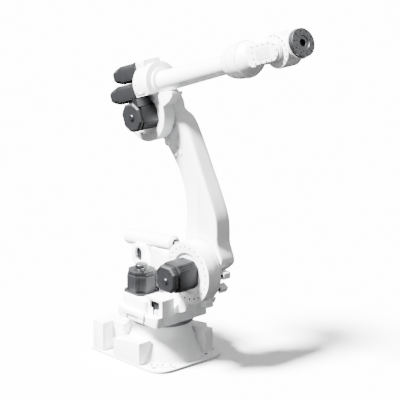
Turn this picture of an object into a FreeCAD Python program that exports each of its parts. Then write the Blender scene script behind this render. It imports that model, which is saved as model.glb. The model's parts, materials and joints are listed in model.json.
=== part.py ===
"""Six-axis industrial robot arm with a floor base, a link arm, a long forearm and a hollow wrist.

Millimetres. The origin is on the floor where the vertical slewing axis meets it, +Z is up, +X is
the way the arm reaches and +Y is to the robot's left. Each piece is one solid, written to its own
STEP file, and stands in the arm's rest pose.
"""
import FreeCAD, Part
import math
import os

# ---- Driving dimensions: the axes and the rest pose ----
SHOULDER_OFFSET = 375.0      # slewing axis to shoulder axis, along X
SHOULDER_HEIGHT = 741.0      # floor to shoulder axis
LINK_LENGTH = 1200.0         # shoulder axis to elbow axis
FOREARM_RISE = 176.0         # elbow axis to the forearm's roll axis
FOREARM_LENGTH = 1515.0      # elbow axis to wrist bend axis, along the forearm
HAND_LENGTH = 210.0          # wrist bend axis to the tool flange's face
LINK_LEAN = -23.57           # degrees forward of upright, so negative leans back
FOREARM_PITCH = 20.4         # degrees above level
HAND_PITCH = 23.8            # degrees above level

# ---- Fits and gaps ----
BEARING_GAP = 0.3            # between faces that turn on each other
MOVING_GAP = 6.0             # between housings that pass each other
ARM_GAP = 8.0                # between the shoulder or elbow housing and the link arm's side

# ---- Base ----
FOOT_THICKNESS = 22.0
FOOT_FRONT = 350.0
FOOT_REAR = 433.0
FOOT_HALF_WIDTH = 334.0
FOOT_CORNER = 150.0
FOOT_REAR_CORNER = 18.0
PAD_HEIGHT = 10.0            # raised bolt pads above the foot
PAD_RADIUS = 34.0
FOOT_BOLT_RADIUS = 13.5
FOOT_BOLT_FRONT_X = 235.0
FOOT_BOLT_FRONT_Y = 285.0
FOOT_BOLT_REAR_X = -210.0
FOOT_BOLT_REAR_Y = 290.0
COLUMN_RADIUS = 222.0
SKIRT_RADIUS = 296.0
SKIRT_TOP = 196.0
COLUMN_TOP = 286.0
SLEW_RING_RADIUS = 236.0
SLEW_RING_THICKNESS = 34.0
FRONT_BOX_X = (-163.0, 127.0)
FRONT_BOX_DEPTH = 115.0
FRONT_BOX_HEIGHTS = (157.0, 192.0)
REAR_BOX_FRONT = -277.0
REAR_BOX_REAR = -396.0
REAR_BOX_HEIGHT = 244.0
BRIDGE_HALF_WIDTH = 236.0
BRIDGE_TOP = 240.0
PANEL_THICKNESS = 8.0
PANEL_SIZE = (250.0, 150.0)
STOP_BLOCK_SIZE = (110.0, 90.0, 190.0)

# ---- Turntable ----
TURNTABLE_FRONT = 262.0
TURNTABLE_REAR = -250.0
TURNTABLE_NEAR = -280.0      # the right flank, in Y
TURNTABLE_FAR = 270.0
TURNTABLE_NEAR_REAR = -165.0
TURNTABLE_CORNER = 24.0
RIM_TOP = 405.0
DECK_HEIGHT = 486.0
DECK_STEP = 26.0             # how far the deck steps in from the rim
SHOULDER_RADIUS = 229.0
SHOULDER_NEAR = -85.0        # the screw ring's face, in Y
SHOULDER_FAR = 32.0          # the face beside the link arm
SHOULDER_RIM_DEPTH = 14.0
SHOULDER_RIM_INNER = 150.0
WEB_THICKNESS = 30.0
WEB_REAR = -130.0
WEB_TOP = 792.0
LEG_FAR = 205.0              # how far the front leg reaches to the left
LEG_THICKNESS = 62.0
WINDOW_BLOCK_X = (85.0, 262.0)
WINDOW_BLOCK_Y = (-223.0, -110.0)
WINDOW_BLOCK_TOP = 530.0
WINDOW_FRAME = 27.0          # wall left round the window
WINDOW_DEPTH = 90.0
LINK_SWEEP_RADIUS = 256.0    # clear of the link arm's lower end, about the shoulder

# ---- Servo motors ----
J1_MOTOR_PLACE = (-106.0, -104.0)
J1_MOTOR_SIZE = 200.0
J1_MOTOR_CHAMFER = 56.0
J1_MOTOR_HEIGHT = 170.0
J1_CAP_RADIUS = 46.0
J1_CAP_HEIGHT = 40.0
J2_MOTOR_SIZE = 206.0
J2_MOTOR_LENGTH = 165.0
J2_MOTOR_CHAMFER = 42.0
J2_CAP_SIZE = 190.0
J2_CAP_LENGTH = 50.0
J3_MOTOR_SIZE = 208.0
J3_MOTOR_LENGTH = 132.0
J3_MOTOR_CHAMFER = 50.0
J3_MOTOR_DROP = 24.0
WRIST_MOTOR_SIZE = 132.0
WRIST_MOTOR_LENGTH = 205.0
WRIST_MOTOR_CHAMFER = 26.0
WRIST_CAP_LENGTH = 90.0
WRIST_CAP_SIZE = 84.0
UPPER_MOTOR_PLACE = (-32.0, 289.0)     # across and up, in the forearm's frame
LOWER_MOTOR_PLACE = (-101.0, 151.0)

# ---- Counterbalance cylinder ----
BALANCER_Y = 115.0
BALANCER_PIVOT_X = -300.0
BALANCER_PIVOT_Z = 791.0
BALANCER_PIN_RADIUS = 177.0  # shoulder axis to the rod's pin
BALANCER_PIN_ANGLE = -46.8   # degrees forward of upright, at rest
BALANCER_RADIUS = 55.0
BALANCER_REAR = -205.0       # along the cylinder from its pivot
BALANCER_FRONT = 325.0
BALANCER_CAP_LENGTH = 26.0
BRACKET_NEAR = SHOULDER_FAR
BRACKET_FAR = 60.0
ROD_RADIUS = 20.0
ROD_EYE_RADIUS = 38.0
ROD_EYE_BORE = 16.0
ROD_EYE_WIDTH = 44.0
ROD_TAIL = -80.0             # where the rod ends inside the cylinder, from the pivot
ROD_TRAVEL_IN = 105.0        # room for the rod to slide further in

# ---- Link arm ----
LINK_NEAR = SHOULDER_FAR + ARM_GAP
LINK_THICKNESS = 150.0
LINK_FAR = LINK_NEAR + LINK_THICKNESS
LOWER_FLANGE_RADIUS = 186.0
LOWER_FLANGE_THICKNESS = 80.0
LUG_RADIUS = 240.0
LUG_DROPS = (0.0, 30.0)      # degrees below level, at rest
LUG_HALF_HEIGHT = 26.0
UPPER_BOSS_RADIUS = 156.0
SLOT_WIDTH = 60.0
SLOT_HUB_RADIUS = 84.0
LOWER_COVER_RADIUS = 60.0
UPPER_COVER_RADIUS = 118.0
COVER_THICKNESS = 16.0

# ---- Elbow and forearm ----
ELBOW_RADIUS = 219.0
ELBOW_NEAR = -70.0
ELBOW_FAR = 32.0
ELBOW_RECESS_RADIUS = 172.0
ELBOW_RECESS_DEPTH = 36.0
CASTING_REAR = 45.0
CASTING_FRONT = 200.0
CASTING_RADIUS = 150.0
FLANK_NEAR = -140.0          # the lower motor's pad
FLANK_TOP = 215.0
FLANK_FLOOR = 108.0
UPPER_NEAR = -80.0           # the upper motor's pad
CHIN_FRONT = 350.0
CHIN_Y = (-70.0, 30.0)
TUBE_ROOT_RADIUS = 104.0
TUBE_ROOT_END = 218.0
TUBE_REAR_RADIUS = 77.0
TUBE_FRONT_RADIUS = 67.0
BELL_START = FOREARM_LENGTH - 590.0
BELL_END = FOREARM_LENGTH - 475.0
BELL_RADIUS = 122.0
DRUM_RADIUS = 127.0
DRUM_END = FOREARM_LENGTH - 337.0
WRIST_SPLIT = FOREARM_LENGTH - 465.0     # where the rolling part begins

# ---- Wrist, hand and tool flange ----
WRIST_HALF_HEIGHT = 78.0
WRIST_HALF_WIDTH = 104.0
WRIST_CHEEK_START = FOREARM_LENGTH - 245.0
WRIST_ROOT_HALF_WIDTH = 84.0
WRIST_COVER_START = FOREARM_LENGTH - 193.0
WRIST_FORK_INNER = 80.0      # half the gap between the fork's cheeks
WRIST_FORK_DEPTH = 190.0     # from the bend axis back to the fork's floor
WRIST_COVER_THICKNESS = 12.0
HAND_DRUM_RADIUS = 122.0
HAND_DRUM_HALF_WIDTH = 74.0
HAND_RING_RADIUS = 104.0
HAND_RING_START = 104.0
HAND_RING_ROOT = 52.0        # its radius where it leaves the hand
HAND_RING_FULL = 150.0       # where it reaches its full radius
HAND_RING_END = 168.0
FLANGE_RADIUS = 100.0
FLANGE_NECK_RADIUS = 90.0
FLANGE_PILOT_RADIUS = 50.0
FLANGE_PILOT_DEPTH = 8.0
FLANGE_BORE_RADIUS = 25.0
FLANGE_BOLT_CIRCLE = 160.0
FLANGE_BOLT_COUNT = 10
FLANGE_BOLT_RADIUS = 5.5
FLANGE_BOLT_DEPTH = 14.0

# ---- Places worked out from the driving dimensions ----
UP = FreeCAD.Vector(0, 0, 1)
LEFT = FreeCAD.Vector(0, 1, 0)
FORWARD = FreeCAD.Vector(1, 0, 0)
TURNTABLE_FLOOR = COLUMN_TOP + SLEW_RING_THICKNESS + BEARING_GAP


def at(x, y, z):
    return FreeCAD.Vector(x, y, z)


def frame_at(origin, pitch_down):
    """A frame at origin, turned about +Y by pitch_down degrees."""
    return FreeCAD.Placement(origin, FreeCAD.Rotation(LEFT, pitch_down))


SHOULDER = at(SHOULDER_OFFSET, 0, SHOULDER_HEIGHT)
LINK_FRAME = frame_at(SHOULDER, LINK_LEAN)
ELBOW = LINK_FRAME.multVec(at(0, 0, LINK_LENGTH))
FOREARM_FRAME = frame_at(ELBOW, -FOREARM_PITCH)
WRIST = FOREARM_FRAME.multVec(at(FOREARM_LENGTH, 0, FOREARM_RISE))
HAND_FRAME = frame_at(WRIST, -HAND_PITCH)


def placed(shape, frame):
    """The shape moved out of a local frame and into the robot's frame."""
    moved = shape.copy()
    moved.Placement = frame.multiply(moved.Placement)
    return moved


def block(x, y, z):
    """A box from (low, high) pairs."""
    return Part.makeBox(x[1] - x[0], y[1] - y[0], z[1] - z[0], at(x[0], y[0], z[0]))


def disc(radius, start, direction, length):
    return Part.makeCylinder(radius, length, start, direction)


def cone(radius_start, radius_end, start, direction, length):
    return Part.makeCone(radius_start, radius_end, length, start, direction)


def disc_y(radius, x, z, y_near, y_far):
    """A disc whose axis runs along Y."""
    return disc(radius, at(x, y_near, z), LEFT, y_far - y_near)


def fuse(first, *others):
    return first.fuse(list(others)).removeSplitter()


def cut(shape, *tools):
    return shape.cut(list(tools))


def outline_y(points, y_near, y_far):
    """A closed outline of (x, z) points, extruded along Y."""
    corners = [at(x, y_near, z) for x, z in points]
    corners.append(corners[0])
    face = Part.Face(Part.makePolygon(corners))
    return face.extrude(at(0, y_far - y_near, 0))


def rounded(shape, direction, radius):
    """Fillets the straight edges that run along a direction."""
    chosen = []
    for edge in shape.Edges:
        if not isinstance(edge.Curve, Part.Line):
            continue
        if abs(abs(edge.Curve.Direction.dot(direction)) - 1) < 1e-6:
            chosen.append(edge)
    return shape.makeFillet(radius, chosen)


def octagon(size, chamfer):
    """The corners of a square with its corners cut off, centred on zero."""
    half = size / 2
    inner = half - chamfer
    return [(half, -inner), (half, inner), (inner, half), (-inner, half),
            (-half, inner), (-half, -inner), (-inner, -half), (inner, -half)]


def octagon_wire(size, chamfer, origin, across, upward):
    corners = []
    for a, b in octagon(size, chamfer):
        corners.append(origin + across * a + upward * b)
    corners.append(corners[0])
    return Part.makePolygon(corners)


def octagon_prism(size, chamfer, origin, across, upward, along, length):
    """An octagonal bar that starts at origin and runs along a direction."""
    return Part.Face(octagon_wire(size, chamfer, origin, across, upward)).extrude(along * length)


def ring_of(count, radius, phase=0.0):
    """Points spaced evenly round a circle, as (across, up) pairs."""
    points = []
    for index in range(count):
        angle = math.radians(phase + 360.0 * index / count)
        points.append((radius * math.cos(angle), radius * math.sin(angle)))
    return points


# ---- Base ----
def foot_bolts():
    places = []
    for side in (-1, 1):
        places.append((FOOT_BOLT_FRONT_X, side * FOOT_BOLT_FRONT_Y))
        places.append((FOOT_BOLT_REAR_X, side * FOOT_BOLT_REAR_Y))
    return places


def skirt_cone():
    height = SKIRT_TOP - FOOT_THICKNESS
    return cone(SKIRT_RADIUS, COLUMN_RADIUS, at(0, 0, FOOT_THICKNESS), UP, height)


def base_casting():
    foot = block((-FOOT_REAR, FOOT_FRONT), (-FOOT_HALF_WIDTH, FOOT_HALF_WIDTH), (0, FOOT_THICKNESS))
    front = [edge for edge in foot.Edges if is_upright_edge(edge) and edge.CenterOfMass.x > 0]
    foot = foot.makeFillet(FOOT_CORNER, front)
    rear = [edge for edge in foot.Edges if is_upright_edge(edge) and edge.CenterOfMass.x < -FOOT_REAR + 1]
    foot = foot.makeFillet(FOOT_REAR_CORNER, rear)
    column = disc(COLUMN_RADIUS, at(0, 0, SKIRT_TOP), UP, COLUMN_TOP - SKIRT_TOP)
    pads = []
    holes = []
    for x, y in foot_bolts():
        pads.append(disc(PAD_RADIUS, at(x, y, 0), UP, FOOT_THICKNESS + PAD_HEIGHT))
        holes.append(disc(FOOT_BOLT_RADIUS, at(x, y, -1), UP, SKIRT_TOP))
        holes.append(disc(PAD_RADIUS, at(x, y, FOOT_THICKNESS + PAD_HEIGHT), UP, SKIRT_TOP))
    return cut(fuse(foot, skirt_cone(), column, *pads), *holes)


def is_upright_edge(edge):
    return isinstance(edge.Curve, Part.Line) and abs(edge.Curve.Direction.z) > 0.999


def base_front_box(side):
    """A cable box on the column's flank, whose lid slopes up to the front."""
    low, high = FRONT_BOX_HEIGHTS
    x_rear, x_front = FRONT_BOX_X
    outline = [(x_rear, FOOT_THICKNESS), (x_front, FOOT_THICKNESS), (x_front, high), (x_rear, low)]
    outer = FOOT_HALF_WIDTH - 1
    y_near, y_far = sorted((side * outer, side * (outer - FRONT_BOX_DEPTH)))
    box = rounded(outline_y(outline, y_near, y_far), LEFT, 8.0)
    return cut(box, skirt_cone())


def base_rear_box():
    outer = FOOT_HALF_WIDTH - 1
    shell = block((REAR_BOX_REAR, REAR_BOX_FRONT), (-outer, outer), (FOOT_THICKNESS, REAR_BOX_HEIGHT))
    shell = rounded(shell, LEFT, 14.0)
    return cut(shell, connector_recess(), skirt_cone())


def connector_recess():
    half_width = PANEL_SIZE[0] / 2
    middle = FOOT_THICKNESS + (REAR_BOX_HEIGHT - FOOT_THICKNESS) / 2
    half_height = PANEL_SIZE[1] / 2
    return block((REAR_BOX_REAR - 1, REAR_BOX_REAR + 40), (-half_width, half_width),
                 (middle - half_height, middle + half_height))


def base_rear_bridge():
    """Joins the rear box to the column."""
    half = BRIDGE_HALF_WIDTH
    bridge = block((REAR_BOX_FRONT, 0), (-half, half), (FOOT_THICKNESS, BRIDGE_TOP))
    column = disc(COLUMN_RADIUS, at(0, 0, SKIRT_TOP), UP, BRIDGE_TOP)
    box_room = block((FRONT_BOX_X[0], 1), (-half - 1, half + 1), (0, BRIDGE_TOP + 1))
    return cut(bridge, skirt_cone(), column, box_room)


def connector_panel():
    half_width = PANEL_SIZE[0] / 2
    middle = FOOT_THICKNESS + (REAR_BOX_HEIGHT - FOOT_THICKNESS) / 2
    half_height = PANEL_SIZE[1] / 2
    back = REAR_BOX_REAR + 40
    plate = block((back - PANEL_THICKNESS, back), (-half_width, half_width),
                  (middle - half_height, middle + half_height))
    sockets = []
    for y in (-80, 0, 80):
        sockets.append(disc(24, at(back - PANEL_THICKNESS - 24, y, middle + 30), FORWARD, 25))
    for y in (-60, 60):
        sockets.append(disc(15, at(back - PANEL_THICKNESS - 18, y, middle - 38), FORWARD, 19))
    return fuse(plate, *sockets)


def stop_block():
    """The block on the foot that carries the slewing axis's hard stop."""
    length, width, height = STOP_BLOCK_SIZE
    box = block((170, 170 + length), (170, 170 + width), (FOOT_THICKNESS, FOOT_THICKNESS + height))
    box = rounded(box, UP, 16.0)
    above = disc(COLUMN_RADIUS, at(0, 0, SKIRT_TOP), UP, 100)
    spanner_room = disc(PAD_RADIUS + 2, at(FOOT_BOLT_FRONT_X, FOOT_BOLT_FRONT_Y, 0), UP, height + 100)
    return cut(box, skirt_cone(), above, spanner_room)


def slew_ring():
    return disc(SLEW_RING_RADIUS, at(0, 0, COLUMN_TOP), UP, SLEW_RING_THICKNESS)


# ---- Turntable ----
def turntable_casting():
    """The low tray on the slewing ring, with the motor deck and the window block."""
    rim = outline_z([(TURNTABLE_NEAR_REAR, TURNTABLE_NEAR), (TURNTABLE_FRONT, TURNTABLE_NEAR),
                     (TURNTABLE_FRONT, LEG_FAR), (TURNTABLE_FRONT - 80, TURNTABLE_FAR),
                     (-150, TURNTABLE_FAR), (TURNTABLE_REAR, 180), (TURNTABLE_REAR, -190)],
                    TURNTABLE_FLOOR + MOVING_GAP, RIM_TOP)
    rim = rounded(rim, UP, TURNTABLE_CORNER)
    hub = disc(SLEW_RING_RADIUS, at(0, 0, TURNTABLE_FLOOR), UP, MOVING_GAP)
    step = DECK_STEP
    deck_front = WINDOW_BLOCK_X[0] + 20
    deck = outline_z([(TURNTABLE_NEAR_REAR + step, TURNTABLE_NEAR + step), (deck_front, TURNTABLE_NEAR + step),
                      (deck_front, TURNTABLE_FAR - step), (-150, TURNTABLE_FAR - step),
                      (TURNTABLE_REAR + step, 180 - step), (TURNTABLE_REAR + step, -190 + step)],
                     RIM_TOP, DECK_HEIGHT)
    deck = rounded(deck, UP, TURNTABLE_CORNER)
    frame_block = rounded(block(WINDOW_BLOCK_X, WINDOW_BLOCK_Y, (RIM_TOP - 60, WINDOW_BLOCK_TOP)), LEFT, 10.0)
    x_low, x_high = WINDOW_BLOCK_X
    wall = WINDOW_FRAME
    window = block((x_low + wall, x_high - wall), (WINDOW_BLOCK_Y[0] - 80, WINDOW_BLOCK_Y[0] + WINDOW_DEPTH),
                   (RIM_TOP - 10, WINDOW_BLOCK_TOP - wall))
    return cut(fuse(rim, deck, hub, frame_block), window)


def outline_z(points, z_low, z_high):
    """A closed outline of (x, y) points, extruded upwards."""
    corners = [at(x, y, z_low) for x, y in points]
    corners.append(corners[0])
    return Part.Face(Part.makePolygon(corners)).extrude(at(0, 0, z_high - z_low))


def front_leg():
    """The curved wall that comes down from the shoulder to the tray's front edge."""
    x, z = SHOULDER_OFFSET, SHOULDER_HEIGHT
    outer = [(TURNTABLE_FRONT, RIM_TOP), (x - 24, z - 298), (x + 8, z - 226), (x + 40, z - 150), (x + 60, z)]
    inner = [(x - 40, z), (x - 60, z - 170), (x - 90, z - 250), (TURNTABLE_FRONT - LEG_THICKNESS, RIM_TOP)]
    leg = outline_y(outer + inner, SHOULDER_NEAR, LEG_FAR)
    far_room = disc_y(LINK_SWEEP_RADIUS, x, z, SHOULDER_FAR, LEG_FAR + 1)
    above = block((x - 300, x + 300), (SHOULDER_FAR, LEG_FAR + 1), (z - 100, z + 100))
    return cut(leg, far_room, above)


def shoulder_housing():
    """The round shoulder with the web behind it and the leg in front of it."""
    x, z = SHOULDER_OFFSET, SHOULDER_HEIGHT
    body = disc_y(SHOULDER_RADIUS, x, z, SHOULDER_NEAR, SHOULDER_FAR)
    web_near = SHOULDER_FAR - WEB_THICKNESS
    web = outline_y([(WEB_REAR, DECK_HEIGHT), (WINDOW_BLOCK_X[0] + 20, DECK_HEIGHT),
                     (WINDOW_BLOCK_X[0] + 20, RIM_TOP), (TURNTABLE_FRONT - 10, RIM_TOP), (x, z), (130, 776),
                     (70, 756), (-20, WEB_TOP), (WEB_REAR, WEB_TOP)], web_near, SHOULDER_FAR)
    recess = disc_y(SHOULDER_RIM_INNER, x, z, SHOULDER_NEAR - 1, SHOULDER_NEAR + SHOULDER_RIM_DEPTH)
    return cut(fuse(body, web, front_leg()), recess)


def shoulder_gear():
    """The gearbox output that carries the link arm."""
    return disc_y(150, SHOULDER_OFFSET, SHOULDER_HEIGHT, SHOULDER_FAR + BEARING_GAP, LINK_NEAR)


def j1_motor():
    x, y = J1_MOTOR_PLACE
    return octagon_prism(J1_MOTOR_SIZE, J1_MOTOR_CHAMFER, at(x, y, DECK_HEIGHT), FORWARD, LEFT, UP,
                         J1_MOTOR_HEIGHT)


def j1_motor_cap():
    x, y = J1_MOTOR_PLACE
    return disc(J1_CAP_RADIUS, at(x, y, DECK_HEIGHT + J1_MOTOR_HEIGHT), UP, J1_CAP_HEIGHT)


def j1_connector():
    x, y = J1_MOTOR_PLACE
    top = DECK_HEIGHT + J1_MOTOR_HEIGHT
    return rounded(block((x + 52, x + 96), (y - 60, y - 10), (top, top + 40)), UP, 8.0)


def j2_motor():
    face = SHOULDER_NEAR + SHOULDER_RIM_DEPTH
    return octagon_prism(J2_MOTOR_SIZE, J2_MOTOR_CHAMFER, at(SHOULDER_OFFSET, face, SHOULDER_HEIGHT),
                         FORWARD, UP, LEFT, -(J2_MOTOR_LENGTH + SHOULDER_RIM_DEPTH))


def j2_motor_cap():
    start = SHOULDER_NEAR - J2_MOTOR_LENGTH
    return octagon_prism(J2_CAP_SIZE, 44.0, at(SHOULDER_OFFSET, start, SHOULDER_HEIGHT),
                         FORWARD, UP, LEFT, -J2_CAP_LENGTH)


def j2_connector():
    x = SHOULDER_OFFSET - J2_MOTOR_SIZE / 2
    y = SHOULDER_NEAR - J2_MOTOR_LENGTH + 30
    return block((x - 44, x), (y, y + 60), (SHOULDER_HEIGHT - 40, SHOULDER_HEIGHT + 20))


def side_tabs():
    """Lifting tabs that hang below the turntable's rim, joined by a strip."""
    y_near = TURNTABLE_NEAR - 14
    y_far = TURNTABLE_NEAR
    strip = block((-110, 130), (y_near, y_far), (372, 400))
    tabs = []
    for x in (-84, 100):
        tab = block((x - 24, x + 24), (y_near, y_far), (338, 400))
        tabs.append(cut(tab, disc_y(9, x, 362, y_near - 1, y_far + 1)))
    return fuse(strip, *tabs)


def stop_lug():
    """The fixed stop under the shoulder that limits the link arm."""
    x, z = SHOULDER_OFFSET, SHOULDER_HEIGHT
    low = LINK_SWEEP_RADIUS + 2
    lug = block((x - 30, x + 44), (70, 130), (z - low - 40, z - low + 12))
    return cut(rounded(lug, LEFT, 8.0), front_leg(), disc_y(LINK_SWEEP_RADIUS, x, z, 60, 140))


# ---- Counterbalance ----
def balancer_pin():
    angle = math.radians(BALANCER_PIN_ANGLE)
    return at(SHOULDER_OFFSET + BALANCER_PIN_RADIUS * math.sin(angle), BALANCER_Y,
              SHOULDER_HEIGHT + BALANCER_PIN_RADIUS * math.cos(angle))


BALANCER_PIVOT = at(BALANCER_PIVOT_X, BALANCER_Y, BALANCER_PIVOT_Z)
ROD_LENGTH = (balancer_pin() - BALANCER_PIVOT).Length
ROD_DIRECTION = (balancer_pin() - BALANCER_PIVOT).normalize()


def balancer_cylinder():
    start = BALANCER_PIVOT + ROD_DIRECTION * BALANCER_REAR
    tube = disc(BALANCER_RADIUS, start, ROD_DIRECTION, BALANCER_FRONT - BALANCER_REAR)
    inside_end = ROD_TAIL - ROD_TRAVEL_IN
    inside = disc(ROD_RADIUS + BEARING_GAP, BALANCER_PIVOT + ROD_DIRECTION * inside_end, ROD_DIRECTION,
                  BALANCER_FRONT - inside_end + 1)
    return cut(tube, inside)


def balancer_cap():
    start = BALANCER_PIVOT + ROD_DIRECTION * (BALANCER_REAR - BALANCER_CAP_LENGTH)
    return cone(BALANCER_RADIUS - 16, BALANCER_RADIUS + 3, start, ROD_DIRECTION, BALANCER_CAP_LENGTH)


def balancer_bracket():
    """A plate that rises behind the motor and a saddle that holds the cylinder."""
    plate = outline_y([(-200, DECK_HEIGHT), (-70, DECK_HEIGHT), (-120, 640), (-190, 772), (-372, 750),
                       (-372, 640), (-310, 560)], BRACKET_NEAR, BRACKET_FAR)
    oval = fuse(disc_y(38, -300, 706, BRACKET_NEAR - 1, BRACKET_FAR + 1),
                disc_y(38, -300, 672, BRACKET_NEAR - 1, BRACKET_FAR + 1),
                block((-338, -262), (BRACKET_NEAR - 1, BRACKET_FAR + 1), (672, 706)))
    reach = 60.0
    saddle_top = (BALANCER_PIVOT - ROD_DIRECTION * reach).z - BEARING_GAP
    saddle = block((BALANCER_PIVOT_X - reach, BALANCER_PIVOT_X + reach), (BRACKET_FAR, BALANCER_Y + 70),
                   (BALANCER_PIVOT_Z - 86, saddle_top))
    pocket = disc(BALANCER_RADIUS + BEARING_GAP, BALANCER_PIVOT - ROD_DIRECTION * 400, ROD_DIRECTION, 900)
    return cut(fuse(cut(plate, oval), saddle), pocket)


def balancer_rod():
    start = BALANCER_PIVOT + ROD_DIRECTION * ROD_TAIL
    rod = disc(ROD_RADIUS, start, ROD_DIRECTION, ROD_LENGTH - ROD_TAIL)
    pin = balancer_pin()
    half = ROD_EYE_WIDTH / 2
    eye = disc_y(ROD_EYE_RADIUS, pin.x, pin.z, BALANCER_Y - half, BALANCER_Y + half)
    return cut(fuse(rod, eye), disc_y(ROD_EYE_BORE, pin.x, pin.z, 0, 2 * BALANCER_Y))


# ---- Link arm, in its own frame: x forward, z along the arm ----
def link_body():
    """The bowed web, wide and square at its lower end and narrow at its upper end."""
    top = LINK_LENGTH
    front = [(243, 130), (276, 215), (304, 310), (306, 440), (292, top - 560), (275, top - 300),
             (258, top - 180), (228, top - 110), (170, top - 60), (120, top + 16)]
    rear = [(-120, top - 100), (-60, top - 170), (-24, top - 240), (14, top - 350), (42, top - 460),
            (46, top - 560), (34, 540), (4, 440), (-46, 330), (-120, 200), (-168, 90)]
    edge_front = spline_through([at(x, LINK_NEAR, z) for x, z in front])
    edge_rear = spline_through([at(x, LINK_NEAR, z) for x, z in rear])
    foot = [rear[-1], (-168, -20), (-120, -66), (40, -66), (190, -34), (238, 10), front[0]]
    sides = [edge_front, edge_rear, Part.makeLine(at(front[-1][0], LINK_NEAR, front[-1][1]),
                                                  at(rear[0][0], LINK_NEAR, rear[0][1]))]
    for start, end in zip(foot, foot[1:]):
        sides.append(Part.makeLine(at(start[0], LINK_NEAR, start[1]), at(end[0], LINK_NEAR, end[1])))
    face = Part.Face(Part.Wire(Part.__sortEdges__(sides)))
    return face.extrude(at(0, LINK_THICKNESS, 0))


def spline_through(points):
    curve = Part.BSplineCurve()
    curve.interpolate(points)
    return curve.toShape()


def slot_in_link():
    """The fork's slot, in which the counterbalance rod swings."""
    middle = LINK_NEAR + LINK_THICKNESS / 2
    near = middle - SLOT_WIDTH / 2
    far = middle + SLOT_WIDTH / 2
    outline = [(-SLOT_HUB_RADIUS, -320), (-SLOT_HUB_RADIUS, 0), (40, SLOT_HUB_RADIUS), (40, 350),
               (-350, 350), (-350, -320)]
    return outline_y(outline, near, far)


def link_arm_casting():
    lower = disc_y(LOWER_FLANGE_RADIUS, 0, 0, LINK_NEAR, LINK_NEAR + LOWER_FLANGE_THICKNESS)
    upper = disc_y(UPPER_BOSS_RADIUS, 0, LINK_LENGTH, LINK_NEAR, LINK_FAR)
    arm = fuse(link_body(), lower, upper)
    return placed(cut(arm, slot_in_link()), LINK_FRAME)


def link_stop_lug(drop):
    """A lug on the lower flange's rim, drop degrees below level at rest."""
    turn = frame_at(SHOULDER, drop)
    lug = block((LOWER_FLANGE_RADIUS - 8, LUG_RADIUS),
                (LINK_NEAR + 14, LINK_NEAR + LOWER_FLANGE_THICKNESS - 4), (-LUG_HALF_HEIGHT, LUG_HALF_HEIGHT))
    shaped = placed(rounded(lug, LEFT, 10.0), turn)
    return cut(shaped, link_arm_casting())


def link_cover(height, radius):
    return placed(disc_y(radius, 0, height, LINK_FAR, LINK_FAR + COVER_THICKNESS), LINK_FRAME)


# ---- Elbow and forearm, in their own frame: x along the forearm, z away from it ----
def elbow_casting():
    """The gear barrel round the forearm's axis, on the hub that the elbow motor turns."""
    axis_z = FOREARM_RISE
    barrel = disc(CASTING_RADIUS, at(CASTING_REAR, 0, axis_z), FORWARD, CASTING_FRONT - CASTING_REAR)
    upper_pad = block((CASTING_REAR, CASTING_REAR + 90), (UPPER_NEAR, 76),
                      (axis_z, UPPER_MOTOR_PLACE[1] + 68))
    upper_pad = rounded(upper_pad, FORWARD, 18.0)
    flank = rounded(block((CASTING_REAR, CASTING_FRONT - 34), (FLANK_NEAR, 0), (FLANK_FLOOR - 12, FLANK_TOP)),
                    FORWARD, 14.0)
    root = disc(TUBE_ROOT_RADIUS, at(CASTING_FRONT, 0, axis_z), FORWARD, TUBE_ROOT_END - CASTING_FRONT)
    chin = outline_y([(60, 0), (200, -6), (300, 28), (CHIN_FRONT, 62), (CHIN_FRONT, axis_z - 90),
                      (CASTING_FRONT, axis_z)], CHIN_Y[0], CHIN_Y[1])
    over_link = block((0, CHIN_FRONT + 1), (ELBOW_FAR, 200), (-1, UPPER_BOSS_RADIUS + MOVING_GAP))
    over_motor = block((0, CHIN_FRONT + 1), (-200, ELBOW_NEAR), (-1, FLANK_FLOOR))
    tube_room = disc(TUBE_REAR_RADIUS + 24, at(TUBE_ROOT_END, 0, axis_z), FORWARD, 300)
    case = cut(fuse(barrel, upper_pad, flank, root, chin), over_link, over_motor, tube_room)
    hub = disc_y(ELBOW_RADIUS, 0, 0, ELBOW_NEAR, ELBOW_FAR)
    recess = disc_y(ELBOW_RECESS_RADIUS, 0, 0, ELBOW_NEAR - 1, ELBOW_NEAR + ELBOW_RECESS_DEPTH)
    motor_half = WRIST_MOTOR_SIZE / 2
    across, up = LOWER_MOTOR_PLACE
    beside_motor = block((-300, CASTING_REAR), (ELBOW_NEAR - 1, across + motor_half + MOVING_GAP),
                         (up - motor_half - MOVING_GAP, 300))
    return placed(cut(fuse(case, hub), recess, beside_motor), FOREARM_FRAME)


def elbow_gear():
    ring = disc_y(146, 0, 0, ELBOW_FAR + BEARING_GAP, LINK_NEAR)
    return placed(ring, FOREARM_FRAME)


def j3_motor():
    return placed(j3_motor_body(), FOREARM_FRAME)


def j3_motor_body():
    start = at(0, ELBOW_NEAR + ELBOW_RECESS_DEPTH, -J3_MOTOR_DROP)
    return octagon_prism(J3_MOTOR_SIZE, J3_MOTOR_CHAMFER, start, FORWARD, UP, LEFT,
                         -(J3_MOTOR_LENGTH + ELBOW_RECESS_DEPTH))


def j3_motor_box():
    """The terminal box on the elbow motor's top."""
    top = J3_MOTOR_SIZE / 2 - J3_MOTOR_DROP
    box = block((CASTING_REAR + 4, CASTING_REAR + 56), (ELBOW_NEAR - 124, ELBOW_NEAR - 4), (40, top + 20))
    return placed(cut(box, j3_motor_body()), FOREARM_FRAME)


def wrist_motor(place):
    across, up = place
    start = at(CASTING_REAR, across, up)
    body = octagon_prism(WRIST_MOTOR_SIZE, WRIST_MOTOR_CHAMFER, start, LEFT, UP, FORWARD, -WRIST_MOTOR_LENGTH)
    return placed(body, FOREARM_FRAME)


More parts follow.
